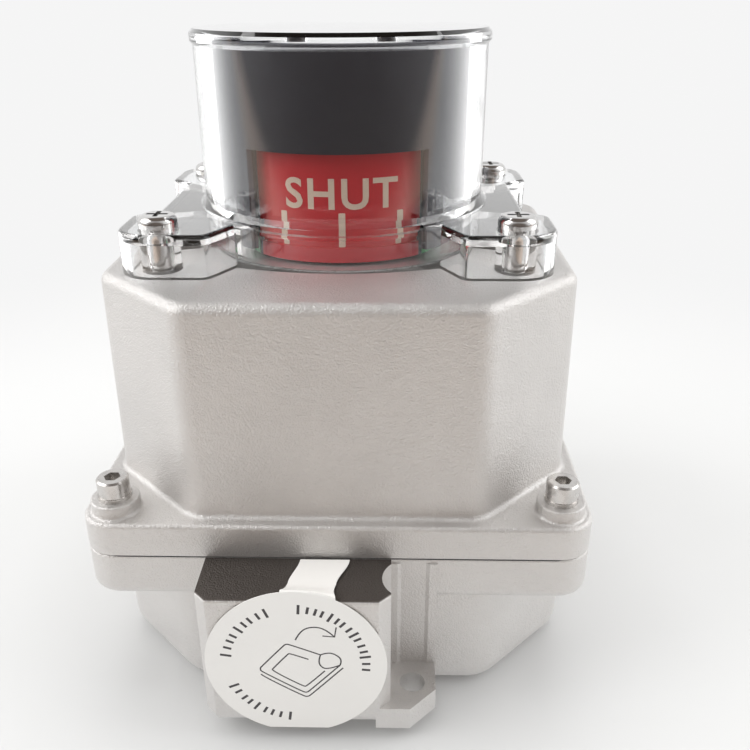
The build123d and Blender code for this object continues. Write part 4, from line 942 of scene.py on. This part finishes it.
def floor_material():
    """Pale floor that fades to the white background far away, and mirrors as dim in front of the box."""
    material, tree, shader = new_material("pale floor")
    base = tuple(bpy.context.scene.switch_box_colours.floor)
    cloud = noise(tree, object_coordinates(tree), 7.0, 3.0)
    link(tree, mix_colour(tree, cloud, shade(base, 0.985), shade(base, 1.01)), shader.inputs["Base Color"])
    shader.inputs["Roughness"].default_value = 0.6
    ahead = separated(tree, object_coordinates(tree))["Y"]
    warm = smooth_step(tree, ahead, -0.10, -0.28)
    dark = smooth_step(tree, ahead, -0.32, -0.55)
    away = add_node(tree, "ShaderNodeVectorMath", operation="LENGTH")
    link(tree, object_coordinates(tree), away.inputs[0])
    far = smooth_step(tree, away.outputs["Value"], 0.14, 0.42)
    rays = tree.nodes.new("ShaderNodeLightPath").outputs
    glossy = rays["Is Glossy Ray"]
    seen = math_node(tree, "MAXIMUM", rays["Is Camera Ray"], rays["Is Transmission Ray"])
    mirrored = math_node(tree, "MULTIPLY", glossy, math_node(tree, "MAXIMUM", warm, FLOOR_GLEAM))
    glow = tree.nodes.new("ShaderNodeEmission")
    room = mix_colour(tree, dark, mix_colour(tree, warm, WHITE, FLOOR_WARM), FLOOR_DIM)
    link(tree, mix_colour(tree, glossy, BACKGROUND, room), glow.inputs["Color"])
    mixed = tree.nodes.new("ShaderNodeMixShader")
    distant = math_node(tree, "MULTIPLY", seen, far)
    link(tree, math_node(tree, "MAXIMUM", distant, mirrored), mixed.inputs[0])
    link(tree, shader.outputs[0], mixed.inputs[1])
    link(tree, glow.outputs[0], mixed.inputs[2])
    link(tree, mixed.outputs[0], tree.nodes["Material Output"].inputs["Surface"])
    return material


class SWITCHBOX_OT_studio(bpy.types.Operator):
    """Set up the pale floor, the soft lights, the world and the camera"""

    bl_idname = "switchbox.studio"
    bl_label = "Studio"

    def execute(self, context):
        scene = context.scene
        scene.view_settings.view_transform = "Standard"
        data = bpy.data.cameras.new("camera")
        data.lens = scene.switch_box_sizes.lens
        data.sensor_width = 36.0
        data.clip_start = 0.01
        data.clip_end = 20.0
        camera = bpy.data.objects.new("camera", data)
        scene.collection.objects.link(camera)
        camera.matrix_world = camera_matrix()
        scene.camera = camera
        scene.world = studio_world()

        bpy.ops.object.select_all(action="DESELECT")
        bpy.ops.mesh.primitive_plane_add(size=8.0, location=(0.0, 0.0, -0.02 * MM))
        floor = context.active_object
        floor.name = "studio_floor"
        floor.data.materials.append(floor_material())

        middle = (0.0, 0.0, 0.08)
        area_light("left soft box", (0.9, 0.9), 6.0, (-0.85, -0.15, 0.75), middle)
        area_light("right soft box", (0.7, 0.9), 3.5, (0.85, 0.05, 0.6), middle)
        top = area_light("top soft box", (0.8, 0.8), 5.0, (0.0, 0.25, 1.1), middle)
        top.visible_glossy = False
        window = bpy.data.collections.new("window")
        for node in ("indicator_dome", "indicator_shroud"):
            window.objects.link(frame["nodes"][node])
        for side, energy in ((-1, 1.0), (1, 0.8)):
            card = area_light("low card", (0.30, 0.24), energy, (side * 0.30, 0.07, 0.09), (0.0, 0.07, 0.11))
            soften(card.data, side)
            card.visible_camera = False
            card.visible_transmission = False
            card.light_linking.receiver_collection = window
        return {"FINISHED"}


# ------------------------------------------------------------------ add-on
class SWITCHBOX_PT_panel(bpy.types.Panel):
    """Lists the steps that dress the switch box"""

    bl_idname = "SWITCHBOX_PT_panel"
    bl_label = "Switch box"
    bl_space_type = "VIEW_3D"
    bl_region_type = "UI"
    bl_category = "Switch box"

    def draw(self, context):
        for step in STEPS:
            self.layout.operator(step.bl_idname)
        for group in (context.scene.switch_box_sizes, context.scene.switch_box_colours):
            for name in group.bl_rna.properties.keys():
                if name not in {"rna_type", "name"}:
                    self.layout.prop(group, name)


STEPS = (
    SWITCHBOX_OT_finishes,
    SWITCHBOX_OT_drum_print,
    SWITCHBOX_OT_drum_strips,
    SWITCHBOX_OT_paper_seal,
    SWITCHBOX_OT_conduit_thread,
    SWITCHBOX_OT_joint_line,
    SWITCHBOX_OT_studio,
)
CLASSES = (SwitchBoxColours, SwitchBoxSizes, *STEPS, SWITCHBOX_PT_panel)


def register():
    """Registers the steps, the panel and the settings."""
    for item in CLASSES:
        bpy.utils.register_class(item)
    bpy.types.Scene.switch_box_colours = PointerProperty(type=SwitchBoxColours)
    bpy.types.Scene.switch_box_sizes = PointerProperty(type=SwitchBoxSizes)


def unregister():
    """Takes away what register() added."""
    del bpy.types.Scene.switch_box_sizes
    del bpy.types.Scene.switch_box_colours
    for item in reversed(CLASSES):
        bpy.utils.unregister_class(item)


def main():
    """Registers the add-on, then runs every step in order."""
    register()
    bpy.ops.object.select_all(action="DESELECT")
    for step in STEPS:
        family, name = step.bl_idname.split(".")
        getattr(getattr(bpy.ops, family), name)()


if __name__ == "__main__":
    main()
